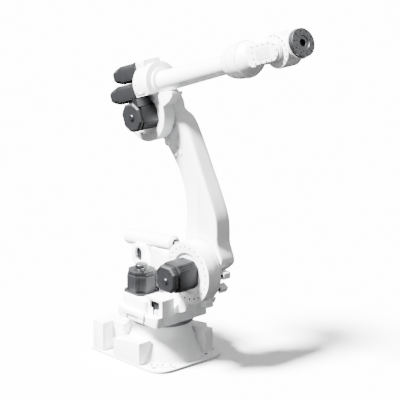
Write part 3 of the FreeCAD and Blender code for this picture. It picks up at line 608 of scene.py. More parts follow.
def tube_and_bell():
    """The tube and the bell that swells out of it, one turned profile."""
    reach = flowing([(TUBE_FRONT - 0.03, TUBE_RADII[1]), (0.935, 0.071), (0.952, 0.084), (0.975, 0.101),
                     (1.004, 0.114), (1.035, 0.1205)], 40)
    tail = [(1.041, 0.122), (1.046, 0.122), (1.047, 0.06)]
    profile = np.concatenate([[(TUBE_REAR - 0.012, TUBE_RADII[0] - 0.02), (TUBE_REAR - 0.012, TUBE_RADII[0])],
                              reach, tail])
    return [turned(profile).at(ROLL)]


def rolling_drum():
    """The drum in front of the roll bearing: a raised bearing ring, a groove and a rounded front."""
    lip = [(1.0503, 0.06), (1.0503, 0.1230), (1.053, 0.1245), (1.116, 0.1262), (1.117, 0.1305),
           (1.119, 0.1315), (1.145, 0.1315), (1.147, 0.1300), (1.148, 0.1200), (1.153, 0.1200),
           (1.154, 0.1235), (1.160, 0.1235)]
    front = flowing([(1.161, 0.1234), (1.180, 0.119), (1.206, 0.107), (1.230, 0.091), (1.248, 0.074)], 28)
    return [turned(np.concatenate([lip, front, [(1.248, 0.03)]])).at(ROLL)]


def gap_shade_ring(radius):
    """A narrow near-black ring on a housing's far face that paints shade into the gap beside the link arm."""
    profile = [(0.0322, radius - 0.007), (0.0322, radius), (0.0385, radius - 0.001), (0.0385, radius - 0.006)]
    return crosswise(turned(profile, 144, ring=True))


class ROBOTARM_OT_forearm(bpy.types.Operator):
    """Builds the forearm's tube, its bell and the rolling drum"""

    bl_idname = "robot_arm.forearm"
    bl_label = "Forearm"

    def execute(self, context):
        piece("forearm_shell", "upper_arm", "enamel", tube_and_bell(),
              ("forearm_tube", "forearm_bell"))
        piece("roll_drum", "wrist", "enamel", rolling_drum(), ("wrist_drum",))
        # Painted shade: near-black rings fill the gap between the bell and the drum and the gap between the
        # elbow hub and the link arm.
        gap = lathe_about(ROLL, [(1.0440, 0.06), (1.0440, 0.1185), (1.0498, 0.1185), (1.0498, 0.06)], 0.0005)
        piece("roll_gap_shade", "upper_arm", "seal", [gap])
        hub_gap = gap_shade_ring(0.2150).at(LINK.shifted(z=LINK_LENGTH))
        piece("elbow_gap_shade", "upper_arm", "seal", [hub_gap])
        return {"FINISHED"}


# ---- Wrist ----
CHEEK_FAR = 0.104
CHEEK_HEIGHT = 0.078
ROOT_START, FLOOR_START, CHEEK_START = 1.165, 1.270, 1.262
COVER_START, COVER_HEIGHT = 1.318, 0.068
CHEEK_MIDDLE, CHEEK_HALF = 0.092, 0.012
COVER_DEPTH = 0.012
CHEEK_RISE = FOREARM_RISE + 0.008


def nosed_outline(start, half, count=28):
    """A bar that starts square with softened corners and ends in a half circle over the bend axis."""
    turn = np.linspace(-math.pi / 2, math.pi / 2, count)
    nose = np.stack([FOREARM_LENGTH + half * np.cos(turn), CHEEK_RISE + half * np.sin(turn)], 1)
    corner = min(0.03, half * 0.4)
    turn_up = np.linspace(math.pi / 2, math.pi, 6)
    top = np.stack([start + corner + corner * np.cos(turn_up), half - corner + corner * np.sin(turn_up)], 1)
    low = top * (1, -1)
    return np.concatenate([nose, top + (0, CHEEK_RISE), low[::-1] + (0, CHEEK_RISE)])


def wrist_shapes():
    """The root that leaves the drum, the fork's floor and its two cheeks."""
    root = slab(box_outline((-0.084, 0.084), (-0.066, 0.074), 0.03), 0.0, 0.135, 0.004)
    root = crosswise(root).at(FLOOR.shifted(ROOT_START, 0, FOREARM_RISE))
    heights = (CHEEK_RISE - CHEEK_HEIGHT, CHEEK_RISE + CHEEK_HEIGHT)
    floor = slab(box_outline((FLOOR_START, FLOOR_START + 0.053), heights, 0.012),
                 -CHEEK_FAR + 0.004, CHEEK_FAR - 0.004, 0.006)
    cheeks = [slab(nosed_outline(CHEEK_START, CHEEK_HEIGHT), side - CHEEK_HALF, side + CHEEK_HALF, 0.006)
              for side in (-CHEEK_MIDDLE, CHEEK_MIDDLE)]
    return [shape.at(FOREARM) for shape in (root, floor, *cheeks)]


def cover_screws(side, inset=0.058):
    """Screws round a cover plate: along its two long edges, its square end and its nose."""
    spots = [(u, v) for u in np.linspace(1.342, 1.505, 4) for v in (-inset, inset)]
    spots += [(1.330, -0.022), (1.330, 0.022)]
    spots += [(FOREARM_LENGTH + inset * math.cos(turn), inset * math.sin(turn))
              for turn in (-0.75, 0.0, 0.75)]
    face = side * (CHEEK_FAR + COVER_DEPTH)
    return many(cap_screw(0.0052), FOREARM([(u, face, CHEEK_RISE + v) for u, v in spots]), (0, side, 0))


class ROBOTARM_OT_wrist(bpy.types.Operator):
    """Builds the wrist's fork, its cover plates and their screws"""

    bl_idname = "robot_arm.wrist"
    bl_label = "Wrist"

    def execute(self, context):
        piece("wrist_fork", "wrist", "enamel", wrist_shapes(), ("wrist_body",))
        for side, label in ((-1, "right"), (1, "left")):
            near, far = sorted((side * CHEEK_FAR, side * (CHEEK_FAR + COVER_DEPTH)))
            plate = slab(nosed_outline(COVER_START, COVER_HEIGHT), near, far, 0.003)
            piece(f"cover_plate_{label}", "wrist", "enamel", [plate.at(FOREARM)],
                  (f"wrist_cover_{label}",))
            piece(f"cover_screws_{label}", "wrist", "dark_screw", [cover_screws(side)])
            face = CHEEK_FAR + COVER_DEPTH
            near, far = sorted((side * (face - 0.001), side * (face + 0.002)))
            panel = box_outline((1.365, 1.500), (CHEEK_RISE - 0.040, CHEEK_RISE + 0.040), 0.006)
            panel = slab(panel, near, far, 0.001)
            piece(f"bare_plate_{label}", "wrist", "cover_grey", [panel.at(FOREARM)])
        return {"FINISHED"}


# ---- Hand and flange ----
HAND_RADIUS, HAND_HALF_WIDTH = 0.122, 0.074
HAND_SCREW_CIRCLE = 0.106
# Hole radius, circle radius, count and phase of each ring of holes in the flange
FLANGE_HOLES = ((0.0062, 0.080, 10, 0.5), (0.0045, 0.062, 12, 0.25), (0.0040, 0.091, 6, 0.1))


def flange_shapes():
    """The flange's rim and neck, with the pilot recess and the bore, as one turned profile."""
    end = HAND_LENGTH
    profile = [(0.1683, 0.026), (0.1683, 0.090), (end - 0.026, 0.090), (end - 0.026, 0.0985),
               (end - 0.0245, 0.100), (end - 0.0015, 0.100), (end, 0.0985), (end, 0.0505),
               (end - 0.001, 0.050), (end - 0.008, 0.050), (end - 0.008, 0.026),
               (end - 0.009, 0.025), (end - 0.041, 0.025)]
    return [turned(profile, ring=True).at(HAND)]


class ROBOTARM_OT_hand(bpy.types.Operator):
    """Builds the hand, its ring and the tool flange with its holes"""

    bl_idname = "robot_arm.hand"
    bl_label = "Hand and flange"

    def execute(self, context):
        barrel = disc(HAND_RADIUS, -HAND_HALF_WIDTH, HAND_HALF_WIDTH, 0.012).at(HAND)
        pivot = disc(0.046, -0.0797, 0.0797, 0.003).at(HAND)
        piece("hand_barrel", "hand", "enamel", [barrel, pivot], ("hand_drum",))
        collar = lathe_about(HAND, [(0.088, 0.03), (0.108, 0.052), (0.152, 0.1035), (0.1550, 0.1050),
                                    (0.1560, 0.1015), (0.1585, 0.1015), (0.1595, 0.1050),
                                    (0.168, 0.104), (0.168, 0.03)], 0.002)
        piece("hand_collar", "hand", "enamel", [collar], ("hand_ring",))
        # Painted shade: a near-black ring in the gap between the collar and the flange.
        gap = lathe_about(HAND, [(0.1678, 0.03), (0.1678, 0.0955), (0.1700, 0.0955), (0.1700, 0.03)], 0.0004)
        piece("flange_gap_shade", "hand", "seal", [gap])
        turns = np.radians(np.arange(-70, 100, 20))
        for side, label in ((-1, "right"), (1, "left")):
            face = np.full(len(turns), side * HAND_HALF_WIDTH)
            spots = np.stack([HAND_SCREW_CIRCLE * np.cos(turns), face, HAND_SCREW_CIRCLE * np.sin(turns)], 1)
            piece(f"hand_screws_{label}", "hand", "dark_screw",
                  [many(cap_screw(0.0048), HAND(spots), (0, side, 0))])
        piece("flange_disc", "flange", "flange_steel", flange_shapes(), ("tool_flange",))
        # Painted shade: near-black discs flush with the flange stand for the shade inside its holes.
        rings = [many(socket_hole(hole), HAND(circle_points(circle, count, phase, HAND_LENGTH)), HAND_AXIS)
                 for hole, circle, count, phase in FLANGE_HOLES]
        piece("flange_holes", "flange", "seal", rings)
        return {"FINISHED"}


# ---- Base ----
FOOT_TOP = 0.022
PAD_TOP = 0.032


def foot_plate():
    low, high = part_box("base_casting")
    corners = [(low.x, low.y), (high.x, low.y), (high.x, high.y), (low.x, high.y)]
    return slab_up(softened(corners, np.array([0.018, 0.15, 0.15, 0.018]), 10), 0.0, FOOT_TOP, 0.005)


def skirt():
    """The column: a hollow curve out of the foot, then a straight neck with a lip."""
    sweep = flowing([(0.014, 0.322), (0.024, 0.309), (0.040, 0.297), (0.085, 0.276), (0.135, 0.252),
                     (0.175, 0.231), (0.196, 0.2235)], 36)
    neck = [(0.200, 0.2225), (0.262, 0.2220), (0.265, 0.2255), (0.284, 0.2255),
            (0.286, 0.2235), (0.286, 0.05)]
    return turned(np.concatenate([[(0.014, 0.05)], sweep, neck]), 144).at(SLEWING)


def bolt_pads():
    """Four raised pads on the foot's corners, long across the corner, and where their bolts stand."""
    shapes, bolts = [], []
    for mount in frame["record"]["mounts"]:
        if not mount["name"].startswith("foot_bolts"):
            continue
        reach = mount["dims"]["spacing_y_mm"] / 2000
        for side in (-1, 1):
            x, y = mount["pos_m"][0], side * reach
            slant = math.radians(45) * side if x > 0 else 0.0
            along = np.array([math.cos(slant), math.sin(slant)]) if x > 0 else np.array([1.0, 0.0])
            across = np.array([-along[1], along[0]])
            long, wide = (0.100, 0.032) if x > 0 else (0.040, 0.040)
            middle = np.array([x + 0.009, y - 0.063 * side]) if x > 0 else np.array([x, y])
            outline = softened([middle + a * long * across + b * wide * along for a, b in SQUARE], 0.026, 6)
            shapes.append(slab_up(outline, FOOT_TOP - 0.002, PAD_TOP, 0.004))
            spots = (-0.70, -0.27, 0.10, 0.70) if x > 0 else (0.0,)
            bolts += [(*(middle + spot * long * across), PAD_TOP) for spot in spots]
            if x > 0:
                bolts.append((x, y, FOOT_TOP + 0.001))
    return shapes, np.array(bolts)


class ROBOTARM_OT_base(bpy.types.Operator):
    """Builds the foot, the column, the bolt pads and the floor bolts"""

    bl_idname = "robot_arm.base"
    bl_label = "Base"

    def execute(self, context):
        pads, bolts = bolt_pads()
        piece("base_column", "base", "enamel", [foot_plate(), skirt(), *pads], ("base_casting",))
        heads = many(socket_hole(0.0125), bolts, (0, 0, 1))
        piece("floor_bolts", "base", "dark_screw", [heads])
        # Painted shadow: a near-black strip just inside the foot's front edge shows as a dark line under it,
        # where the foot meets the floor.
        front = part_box("base_casting")[1].x
        strip = slab_up(box_outline((front - 0.004, front - 0.0002), (-0.12, 0.13)), 0.0005, 0.011, 0.0)
        piece("foot_painted_shadow", "base", "seal", [strip])
        return {"FINISHED"}


# ---- Softened castings ----
def softened_copy(node, width):
    """A CAD node's own mesh, merged and with its flat facets joined, under a bevel on its sharp edges."""
    source = NODES[node]
    name = node + "_soft"
    mesh = bpy.data.meshes.new(name)
    form = bmesh.new()
    form.from_mesh(source.data)
    bmesh.ops.remove_doubles(form, verts=form.verts, dist=0.00005)
    bmesh.ops.dissolve_limit(form, angle_limit=math.radians(0.8), verts=form.verts, edges=form.edges)
    form.to_mesh(mesh)
    form.free()
    mesh.shade_smooth()
    mesh.materials.append(finish_of("enamel"))
    thing = placed(name, mesh)
    bevel = thing.modifiers.new("edges", "BEVEL")
    bevel.width = width
    bevel.segments = 3
    bevel.limit_method = "ANGLE"
    bevel.angle_limit = math.radians(34)
    bevel.harden_normals = True
    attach(thing, source["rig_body"])
    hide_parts(node)
    return thing


SOFT_EDGES = {
    "base_right_box": 0.006, "base_left_box": 0.006, "base_rear_box": 0.006, "base_rear_bridge": 0.008,
    "stop_block": 0.006, "side_tabs": 0.002, "stop_lug": 0.005, "link_upper_lug": 0.004,
    "link_lower_lug": 0.004, "turntable_casting": 0.009, "balancer_bracket": 0.006,
    "elbow_casting": 0.007, "shoulder_housing": 0.006, "connector_panel": 0.0015,
}


def window_shapes():
    """The plate round the cable window: bars left, right, above and below an opening with a slot under it."""
    bars = (((0.085, 0.130), (0.330, 0.530)), ((0.232, 0.262), (0.330, 0.530)),
            ((0.130, 0.232), (0.514, 0.530)), ((0.130, 0.158), (0.330, 0.452)),
            ((0.214, 0.232), (0.330, 0.452)), ((0.158, 0.214), (0.330, 0.398)))
    plate = [slab(box_outline(x, z), -0.2275, -0.2232, 0.0) for x, z in bars]
    tongues = [slab(box_outline((x, x + 0.010), (0.398, 0.436)), -0.2262, -0.205, 0.002)
               for x in (0.172, 0.192)]
    return plate + tongues


FLANK_FACE = -0.1475


class ROBOTARM_OT_castings(bpy.types.Operator):
    """Softens the edges of the boxed castings"""

    bl_idname = "robot_arm.castings"
    bl_label = "Castings"

    def execute(self, context):
        for node, width in SOFT_EDGES.items():
            softened_copy(node, width)
        piece("window_plate", "turntable", "enamel", window_shapes())
        # Painted shade: a near-black sheet behind the cable window stands for the shade inside the hollow
        # casting.
        hollow = slab(box_outline((0.1125, 0.2345), (0.3965, 0.5025)), -0.196, -0.190, 0.0)
        piece("window_painted_shade", "turntable", "seal", [hollow])
        # Painted shade: a sheet in the motors' dark coat at the back of the bracket's oval hole stands for
        # the shade inside the white casting's pocket.
        pocket = slab(box_outline((-0.345, -0.255), (0.625, 0.755), 0.03, 6), 0.0530, 0.0600, 0.001)
        piece("bracket_painted_shade", "turntable", "motor_coat", [pocket], slot="white_paint")
        flank = slab(box_outline((0.062, 0.150), (0.122, 0.206), 0.012), FLANK_FACE, -0.1402, 0.003)
        spots = [(x, FLANK_FACE, z) for x in (0.074, 0.138) for z in (0.134, 0.194)]
        heads = many(cap_screw(0.005), FOREARM(spots), (0, -1, 0))
        piece("elbow_plate", "upper_arm", "enamel", [flank.at(FOREARM)])
        piece("elbow_plate_screws", "upper_arm", "dark_screw", [heads])
        return {"FINISHED"}


# ---- Link arm ----
LINK_NEAR, LINK_SLOT_NEAR, LINK_SLOT_FAR, LINK_FAR = 0.040, 0.085, 0.145, 0.190
LINK_BOSS = 0.156
LUG_DROPS, LUG_REACH = (0.0, 30.0), 0.217
LINK_FOOT, LINK_HEAD = -0.064, LINK_LENGTH + 0.07
LINK_FRONT = [(0.040, -0.066), (0.190, -0.034), (0.238, 0.010), (0.243, 0.130), (0.276, 0.215),
              (0.304, 0.310), (0.306, 0.440), (0.292, 0.640), (0.275, 0.900), (0.258, 1.020),
              (0.228, 1.090), (0.170, 1.140), (0.120, 1.216)]
LINK_REAR = [(-0.120, -0.066), (-0.168, -0.020), (-0.168, 0.090), (-0.120, 0.200), (-0.046, 0.330),
             (0.004, 0.440), (0.034, 0.540), (0.046, 0.640), (0.042, 0.740), (0.014, 0.850), (-0.024, 0.960),
             (-0.060, 1.030), (-0.120, 1.100)]
LINK_RIDGE = [(0.06, -0.066), (0.07, 0.200), (0.105, 0.300), (0.150, 0.410), (0.200, 0.520), (0.235, 0.640),
              (0.238, 0.815), (0.226, 1.000), (0.150, 1.150), (0.080, 1.356)]
SLOT_TOP = 0.350
SLOT_EDGE = [(-0.084, -0.320), (-0.084, 0.0), (0.040, 0.084), (0.040, SLOT_TOP)]


def edge_at(points, height):
    """How far forward an edge stands at each height, along a smooth line through its points."""
    line = flowing(points, 200)
    return np.interp(height, line[:, 1], line[:, 0])


def link_limits(height):
    """The rear and front of the arm at each height: the edge lines, and round the elbow the boss's circle."""
    boss = np.sqrt(np.maximum(LINK_BOSS**2 - (height - LINK_LENGTH) ** 2, 0.0))
    near_boss = height > LINK_LENGTH - 0.10
    rear = edge_at(LINK_REAR, height)
    front = edge_at(LINK_FRONT, height)
    rear = np.where(near_boss, -boss, rear)
    beside_boss = np.maximum(boss, np.where(height < LINK_LENGTH + 0.01, front, 0))
    return rear, np.where(height > LINK_LENGTH - 0.04, beside_boss, front)


def link_heights(low, high, count=90):
    """Heights that crowd towards both ends, as the cosine of an even angle does."""
    return low + (high - low) * 0.5 * (1 - np.cos(np.linspace(0.03, math.pi - 0.03, count)))


def link_side(near, far, low, high, face=0.0, ridge=0.0):
    """One lengthwise layer of the arm. Each cross-section runs along the near face, which falls back by
    face at the rear and by ridge at the front of its crease, and returns along the far side."""
    height = link_heights(low, high)
    rear, front = link_limits(height)
    crease = np.clip(edge_at(LINK_RIDGE, height), rear + 0.02, front - 0.02)
    fade = np.clip((LINK_LENGTH - 0.02 - height) / 0.25, 0, 1)
    soft = 0.012 + 0.016 * np.clip((height - 0.55) / 0.5, 0, 1)
    sign = 1 if far > near else -1
    rows = [(rear, far + 0 * height), (rear, near + sign * (0.012 + face * fade)),
            (rear + 0.004, near + sign * (0.004 + face * fade)), (rear + 0.012, near + sign * face * fade),
            (crease - 0.009, near + sign * 0.002 * fade), (crease, near + 0 * height),
            (crease + 0.007, near + sign * 0.004 * fade), (front - 1.1 * soft, near + sign * ridge * fade),
            (front - 0.4 * soft, near + sign * (ridge * fade + 0.25 * soft)),
            (front - 0.1 * soft, near + sign * (ridge * fade + 0.6 * soft)),
            (front, near + sign * (ridge * fade + 1.1 * soft)), (front, far + 0 * height)]
    loop = np.stack([np.stack([t, y, height], -1) for t, y in rows], 1)
    return skin(loop).at(LINK)


def link_core():
    """The layer between the arm's sides, cut away at the rear for the balance rod."""
    height = np.concatenate([link_heights(LINK_FOOT, SLOT_TOP - 0.001, 50),
                             link_heights(SLOT_TOP + 0.001, LINK_HEAD, 60)])
    rear, front = link_limits(height)
    slot = np.interp(height, [point[1] for point in SLOT_EDGE], [point[0] for point in SLOT_EDGE])
    rear = np.where(height < SLOT_TOP, slot, rear)
    near, far = LINK_SLOT_NEAR + 0 * height, LINK_SLOT_FAR + 0 * height
    loop = np.stack([np.stack([t, y, height], -1)
                     for t, y in ((rear, near), (front, near), (front, far), (rear, far))], 1)
    return skin(loop).at(LINK)


class ROBOTARM_OT_link_arm(bpy.types.Operator):
    """Builds the link arm with its creased side, its shoulder discs and its small bosses"""

    bl_idname = "robot_arm.link_arm"
    bl_label = "Link arm"

    def execute(self, context):
        near = link_side(LINK_NEAR, LINK_SLOT_NEAR, LINK_FOOT, LINK_HEAD, 0.020, 0.007)
        far = link_side(LINK_FAR, LINK_SLOT_FAR, LINK_FOOT, LINK_HEAD, 0.012, 0.006)
        flange = disc(0.186, LINK_NEAR, 0.085, 0.006).at(LINK)
        hub = disc(0.084, 0.084, 0.120, 0.002).at(LINK)
        boss = disc(LINK_BOSS, LINK_NEAR - 0.001, LINK_FAR + 0.0015, 0.008).at(LINK.shifted(z=LINK_LENGTH))
        piece("link_arm_body", "link_arm", "enamel", [near, far, link_core(), flange, hub, boss],
              ("link_arm_casting",))
        plugs = [disc(0.021, 0.046, 0.075, 0.004).at(LINK.shifted(x=t, z=s))
                 for t, s in ((0.070, 0.848), (0.130, 0.846))]
        stub = disc(0.028, 0.048, 0.10, 0.006).at(LINK.shifted(x=0.012, z=0.945))
        piece("link_bumpers", "link_arm", "enamel", [*plugs, stub])
        # Painted shade: near-black discs on the lugs stand for the shade inside their holes.
        drops = np.radians(LUG_DROPS)
        eyes = np.stack([LUG_REACH * np.cos(drops), [0.0538] * 2, -LUG_REACH * np.sin(drops)], 1)
        eyes = SHOULDER_POINT + eyes
        piece("lug_holes", "link_arm", "seal", [many(socket_hole(0.011), eyes, (0, -1, 0))])
        return {"FINISHED"}


# ---- Shoulder ----
SHOULDER_NEAR, SHOULDER_FAR = -0.085, 0.032


def shoulder_shapes():
    """The screw ring's face, its rolled edge and the housing's outside, as a closed turned profile."""
    near, far = SHOULDER_NEAR, SHOULDER_FAR
    profile = [(near + 0.014, 0.148), (near, 0.152), (near - 0.0006, 0.156), (near - 0.0006, 0.206),
               (near + 0.003, 0.2105), (near + 0.006, 0.2105), (near + 0.007, 0.214), (near + 0.012, 0.2215),
               (near + 0.030, 0.2275), (near + 0.055, 0.2292), (far - 0.012, 0.2292), (far - 0.006, 0.226),
               (far - 0.0005, 0.218), (far - 0.0005, 0.148)]
    return crosswise(turned(profile, 144, ring=True)).at(SHOULDER)


class ROBOTARM_OT_shoulder(bpy.types.Operator):
    """Builds the shoulder's screw ring, its screws and a ring of painted shade in the gap beside the link arm
    """

    bl_idname = "robot_arm.shoulder"
    bl_label = "Shoulder"

    def execute(self, context):
        piece("shoulder_ring", "turntable", "enamel", [shoulder_shapes()])
        spots = circle_points(0.194, 24, 0.5)[:, [1, 0, 2]] + (0, SHOULDER_NEAR - 0.0006, 0)
        screws = many(socket_hole(0.0068), SHOULDER(spots), (0, -1, 0))
        piece("shoulder_screws", "turntable", "dark_screw", [screws])
        # Painted shade: a near-black ring in the gap between the shoulder housing and the link arm.
        gap_ring = gap_shade_ring(0.2240).at(SHOULDER)
        piece("shoulder_gap_shade", "turntable", "seal", [gap_ring])
        return {"FINISHED"}


# ---- Counterbalance ----
BALANCER_PIVOT = (-0.300, 0.115, 0.791)
CYLINDER_REAR, CYLINDER_FRONT = -0.205, 0.325


class ROBOTARM_OT_counterbalance(bpy.types.Operator):
    """Builds the balance cylinder with its end caps, and the bright rod"""

    bl_idname = "robot_arm.counterbalance"
    bl_label = "Counterbalance"

    def execute(self, context):
        along = Place(BALANCER_PIVOT, ROD_AXIS)
        rear, front = CYLINDER_REAR, CYLINDER_FRONT
        tube = [(rear, 0.02), (rear, 0.052), (rear + 0.012, 0.055), (rear + 0.018, 0.0585),
                (rear + 0.036, 0.0585), (rear + 0.040, 0.0552), (front - 0.052, 0.0552),
                (front - 0.048, 0.0580), (front - 0.020, 0.0580), (front - 0.014, 0.054),
                (front - 0.004, 0.040), (front, 0.034), (front, 0.0215)]
        cap = [(rear - 0.026, 0.01), (rear - 0.026, 0.030), (rear - 0.020, 0.037), (rear - 0.004, 0.046),
               (rear - 0.0002, 0.046), (rear - 0.0002, 0.01)]
        piece("balance_tube", "turntable", "enamel", [lathe_about(along, tube, 0.002)],
              ("balancer_cylinder",))
        piece("balance_cap", "turntable", "enamel", [lathe_about(along, cap, 0.003)], ("balancer_cap",))
        screws = many(cap_screw(0.005), along(circle_points(0.046, 8, 0.5, rear + 0.001)), -ROD_AXIS)
        piece("balance_screws", "turntable", "dark_screw", [screws])
        wiper = lathe_about(along, [(front - 0.001, 0.0205), (front - 0.001, 0.031), (front + 0.006, 0.029),
                                    (front + 0.006, 0.0205)], 0.001)
        piece("balance_wiper", "turntable", "seal", [wiper])
        node = NODES["balancer_rod"]
        node.data.materials.clear()
        node.data.materials.append(finish_of("rod_chrome"))
        return {"FINISHED"}


# ---- Motors ----
def octagon(size, chamfer):
    """A square of a given size with its corners cut off and softened, as (y, z) points."""
    half, inner = size / 2, size / 2 - chamfer
    corners = [(half, -inner), (half, inner), (inner, half), (-inner, half), (-half, inner), (-half, -inner),
               (-inner, -half), (inner, -half)]
    return softened(corners, 0.006, 4)


def bar(outline, start, end, edge=0.003):
    """A slab whose thickness runs along x and whose outline is of (y, z) points."""
    return crosswise(slab(outline, start, end, edge))


def tapered(first, second, start, end):
    """A solid between two outlines with as many points each, along x."""
    rows = [np.column_stack([np.full(len(line), level), line])
            for line, level in ((first, start), (second, end))]
    return skin(np.stack(rows))


def plug(height=0.040, radius=0.021):
    """A round connector: base nut, knurled ring, body and cable gland, along x."""
    profile = [(0, 0.004), (0, radius * 1.25), (0.007, radius * 1.25), (0.008, radius * 0.95),
               (0.012, radius * 0.95), (0.013, radius * 1.1), (0.024, radius * 1.1), (0.025, radius * 0.85),
               (height - 0.004, radius * 0.8), (height, radius * 0.65), (height, 0.004)]
    return turned(profile, 28)


def corner_screws(size, chamfer, level, radius=0.0055):
    """Four screws on the cut corners of an octagonal flange, facing along x."""
    reach = size / 2 - chamfer * 0.62
    spots = [(level, y * reach, z * reach) for y in (-1, 1) for z in (-1, 1)]
    return many(cap_screw(radius), spots, (1, 0, 0))


def motor_ribs(size, chamfer, start, end):
    """Raised ribs on the four cut corners of a motor's body."""
    shapes = []
    middle = size / 2 - chamfer / 2
    for y, z in ((1, 1), (-1, 1), (-1, -1), (1, -1)):
        across = np.array([-z, y]) / math.sqrt(2)
        outward = np.array([y, z]) / math.sqrt(2)
        for offset in (-0.30, 0.0, 0.30):
            centre = np.array([y, z]) * middle + across * offset * chamfer * math.sqrt(2)
            corners = [centre + a * 0.0035 * across + b * 0.004 * outward for a, b in SQUARE]
            shape = slab(np.array(corners), start + 0.012, end - 0.012, 0.001, 2)
            shapes.append(crosswise(shape))
    return shapes


class ROBOTARM_OT_motors(bpy.types.Operator):
    """Builds the five servo motors with their covers, ribs, plugs and screws"""

    bl_idname = "robot_arm.motors"
    bl_label = "Motors"

    def execute(self, context):
        self.slewing_motor()
        self.shoulder_motor()
        self.elbow_motor()
        for label, across, up in (("upper", -0.032, 0.289), ("lower", -0.101, 0.151)):
            self.wrist_motor(label, FOREARM.shifted(0.045, across, up).about((-1, 0, 0), (0, 0, 1)))
        return {"FINISHED"}

    def slewing_motor(self):
        low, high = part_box("j1_motor")
        size, chamfer, length = high.x - low.x, 0.056, high.z - low.z
        place = Place(((low.x + high.x) / 2, (low.y + high.y) / 2, low.z), (0, 0, 1), (1, 0, 0))
        flange = bar(octagon(size + 0.012, 0.03), -0.002, 0.014)
        body = bar(octagon(size, chamfer), 0.014, length - 0.03)
        lid = bar(octagon(size - 0.008, chamfer), length - 0.027, length)
        waist = bar(octagon(size - 0.02, chamfer), length - 0.032, length - 0.025, 0.0)
        shapes = [flange, body, lid, waist, *motor_ribs(size, chamfer, 0.014, length - 0.03)]
        piece("slew_motor_case", "turntable", "motor_coat", [s.at(place) for s in shapes], ("j1_motor",))
        cap = [(length, 0.004), (length, 0.058), (length + 0.006, 0.058), (length + 0.008, 0.046),
               (length + 0.036, 0.046), (length + 0.040, 0.042), (length + 0.040, 0.004)]
        knob = turned(softened(cap, 0.002, 3, closed=False), 48)
        piece("slew_motor_cap", "turntable", "connector", [knob.at(place)], ("j1_motor_cap",))
        low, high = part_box("j1_connector")
        box = slab_up(box_outline((low.x, high.x), (low.y, high.y), 0.008), low.z, low.z + 0.022, 0.003)
        root = ((low.x + high.x) / 2, (low.y + high.y) / 2, low.z + 0.02)
        socket = plug(0.042, 0.017).at(Place(root, (0, -0.5, 0.86)))
        piece("slew_motor_plug", "turntable", "connector", [box, socket], ("j1_connector",))

    def shoulder_motor(self):
        low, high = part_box("j2_motor")
        cap_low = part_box("j2_motor_cap")[0]
        size, chamfer, length = high.x - low.x, 0.042, high.y - low.y
        place = Place((SHOULDER_POINT[0], high.y, SHOULDER_POINT[2]), (0, -1, 0))
        end = high.y - cap_low.y
        body = bar(octagon(size, chamfer), 0.0, length - 0.004)
        waist = bar(octagon(size - 0.022, 0.044), length - 0.006, length + 0.006, 0.0)
        cover = bar(octagon(size - 0.012, 0.046), length + 0.005, end - 0.012)
        face = tapered(octagon(size - 0.012, 0.046), octagon(size - 0.036, 0.040), end - 0.0125, end)
        shapes = [body, waist, cover, face, *motor_ribs(size, chamfer, 0.02, length - 0.004),
                  corner_screws(size - 0.03, 0.040, end)]
        piece("shoulder_motor_case", "turntable", "motor_coat", [s.at(place) for s in shapes],
              ("j2_motor", "j2_motor_cap"))
        socket = plug(0.03, 0.026).at(place.shifted(end - 0.022, 0.01, -0.01))
        low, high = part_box("j2_connector")
        box = slab(box_outline((low.x, high.x + 0.004), (low.z, high.z), 0.006), low.y, high.y, 0.004)
        piece("shoulder_motor_plug", "turntable", "connector", [socket, box], ("j2_connector",))

    def elbow_motor(self):
        place = FOREARM.shifted(y=-0.034, z=-0.024).about((0, -1, 0), (0, 0, 1))
        size, chamfer, length = 0.208, 0.050, 0.168
        body = bar(octagon(size, chamfer), 0.0, length - 0.034)
        waist = bar(octagon(size - 0.02, 0.048), length - 0.036, length - 0.028, 0.0)
        cover = bar(octagon(size - 0.010, 0.052), length - 0.030, length - 0.010)
        face = tapered(octagon(size - 0.010, 0.052), octagon(size - 0.032, 0.045), length - 0.0105, length)
        shapes = [body, waist, cover, face, *motor_ribs(size, chamfer, 0.03, length - 0.034),
                  corner_screws(size - 0.026, 0.045, length)]
        piece("elbow_motor_case", "upper_arm", "motor_coat", [s.at(place) for s in shapes], ("j3_motor",))
        socket = plug(0.030, 0.026).at(place.shifted(length - 0.022, 0.01, 0.0))
        piece("elbow_motor_plug", "upper_arm", "connector", [socket])

    def wrist_motor(self, label, place):
        size, chamfer, length = 0.132, 0.026, 0.205
        flange = bar(octagon(size + 0.006, 0.012), 0.0, 0.012)
        body = bar(octagon(size, chamfer), 0.012, length - 0.004)
        waist = bar(octagon(size - 0.018, chamfer), length - 0.006, length + 0.003, 0.0)
        shapes = [flange, body, waist, *motor_ribs(size, chamfer, 0.012, length - 0.004)]
        piece(f"{label}_wrist_motor_case", "upper_arm", "motor_coat",
              [s.at(place) for s in shapes], (f"{label}_wrist_motor",))
        wide = octagon(size - 0.012, chamfer)
        narrow = octagon(0.084, 0.018)
        nose = [tapered(wide, wide, length + 0.002, length + 0.024),
                tapered(wide, narrow, length + 0.0235, length + 0.088)]
        piece(f"{label}_wrist_motor_nose", "upper_arm", "motor_coat", [s.at(place) for s in nose],
              (f"{label}_wrist_motor_cap",))
        side = place.shifted(length + 0.02, -0.056, 0.0).about((0, -1, 0.0), (0, 0, 1))
        piece(f"{label}_wrist_motor_plug", "upper_arm", "connector", [plug(0.028, 0.020).at(side)])


# ---- Stage ----
FLOOR_REACH, FLOOR_LEVEL = 60.0, -0.0005
def look_at(thing, target):
    direction = Vector(target) - thing.location
    thing.rotation_euler = direction.to_track_quat("-Z", "Y").to_euler()


def softbox(name, place, target, size, power):
    light = bpy.data.lights.new(name, "AREA")
    light.shape = "RECTANGLE"
    light.size, light.size_y = size
    light.energy = power
    thing = placed(name, light)
    thing.location = place
    look_at(thing, target)


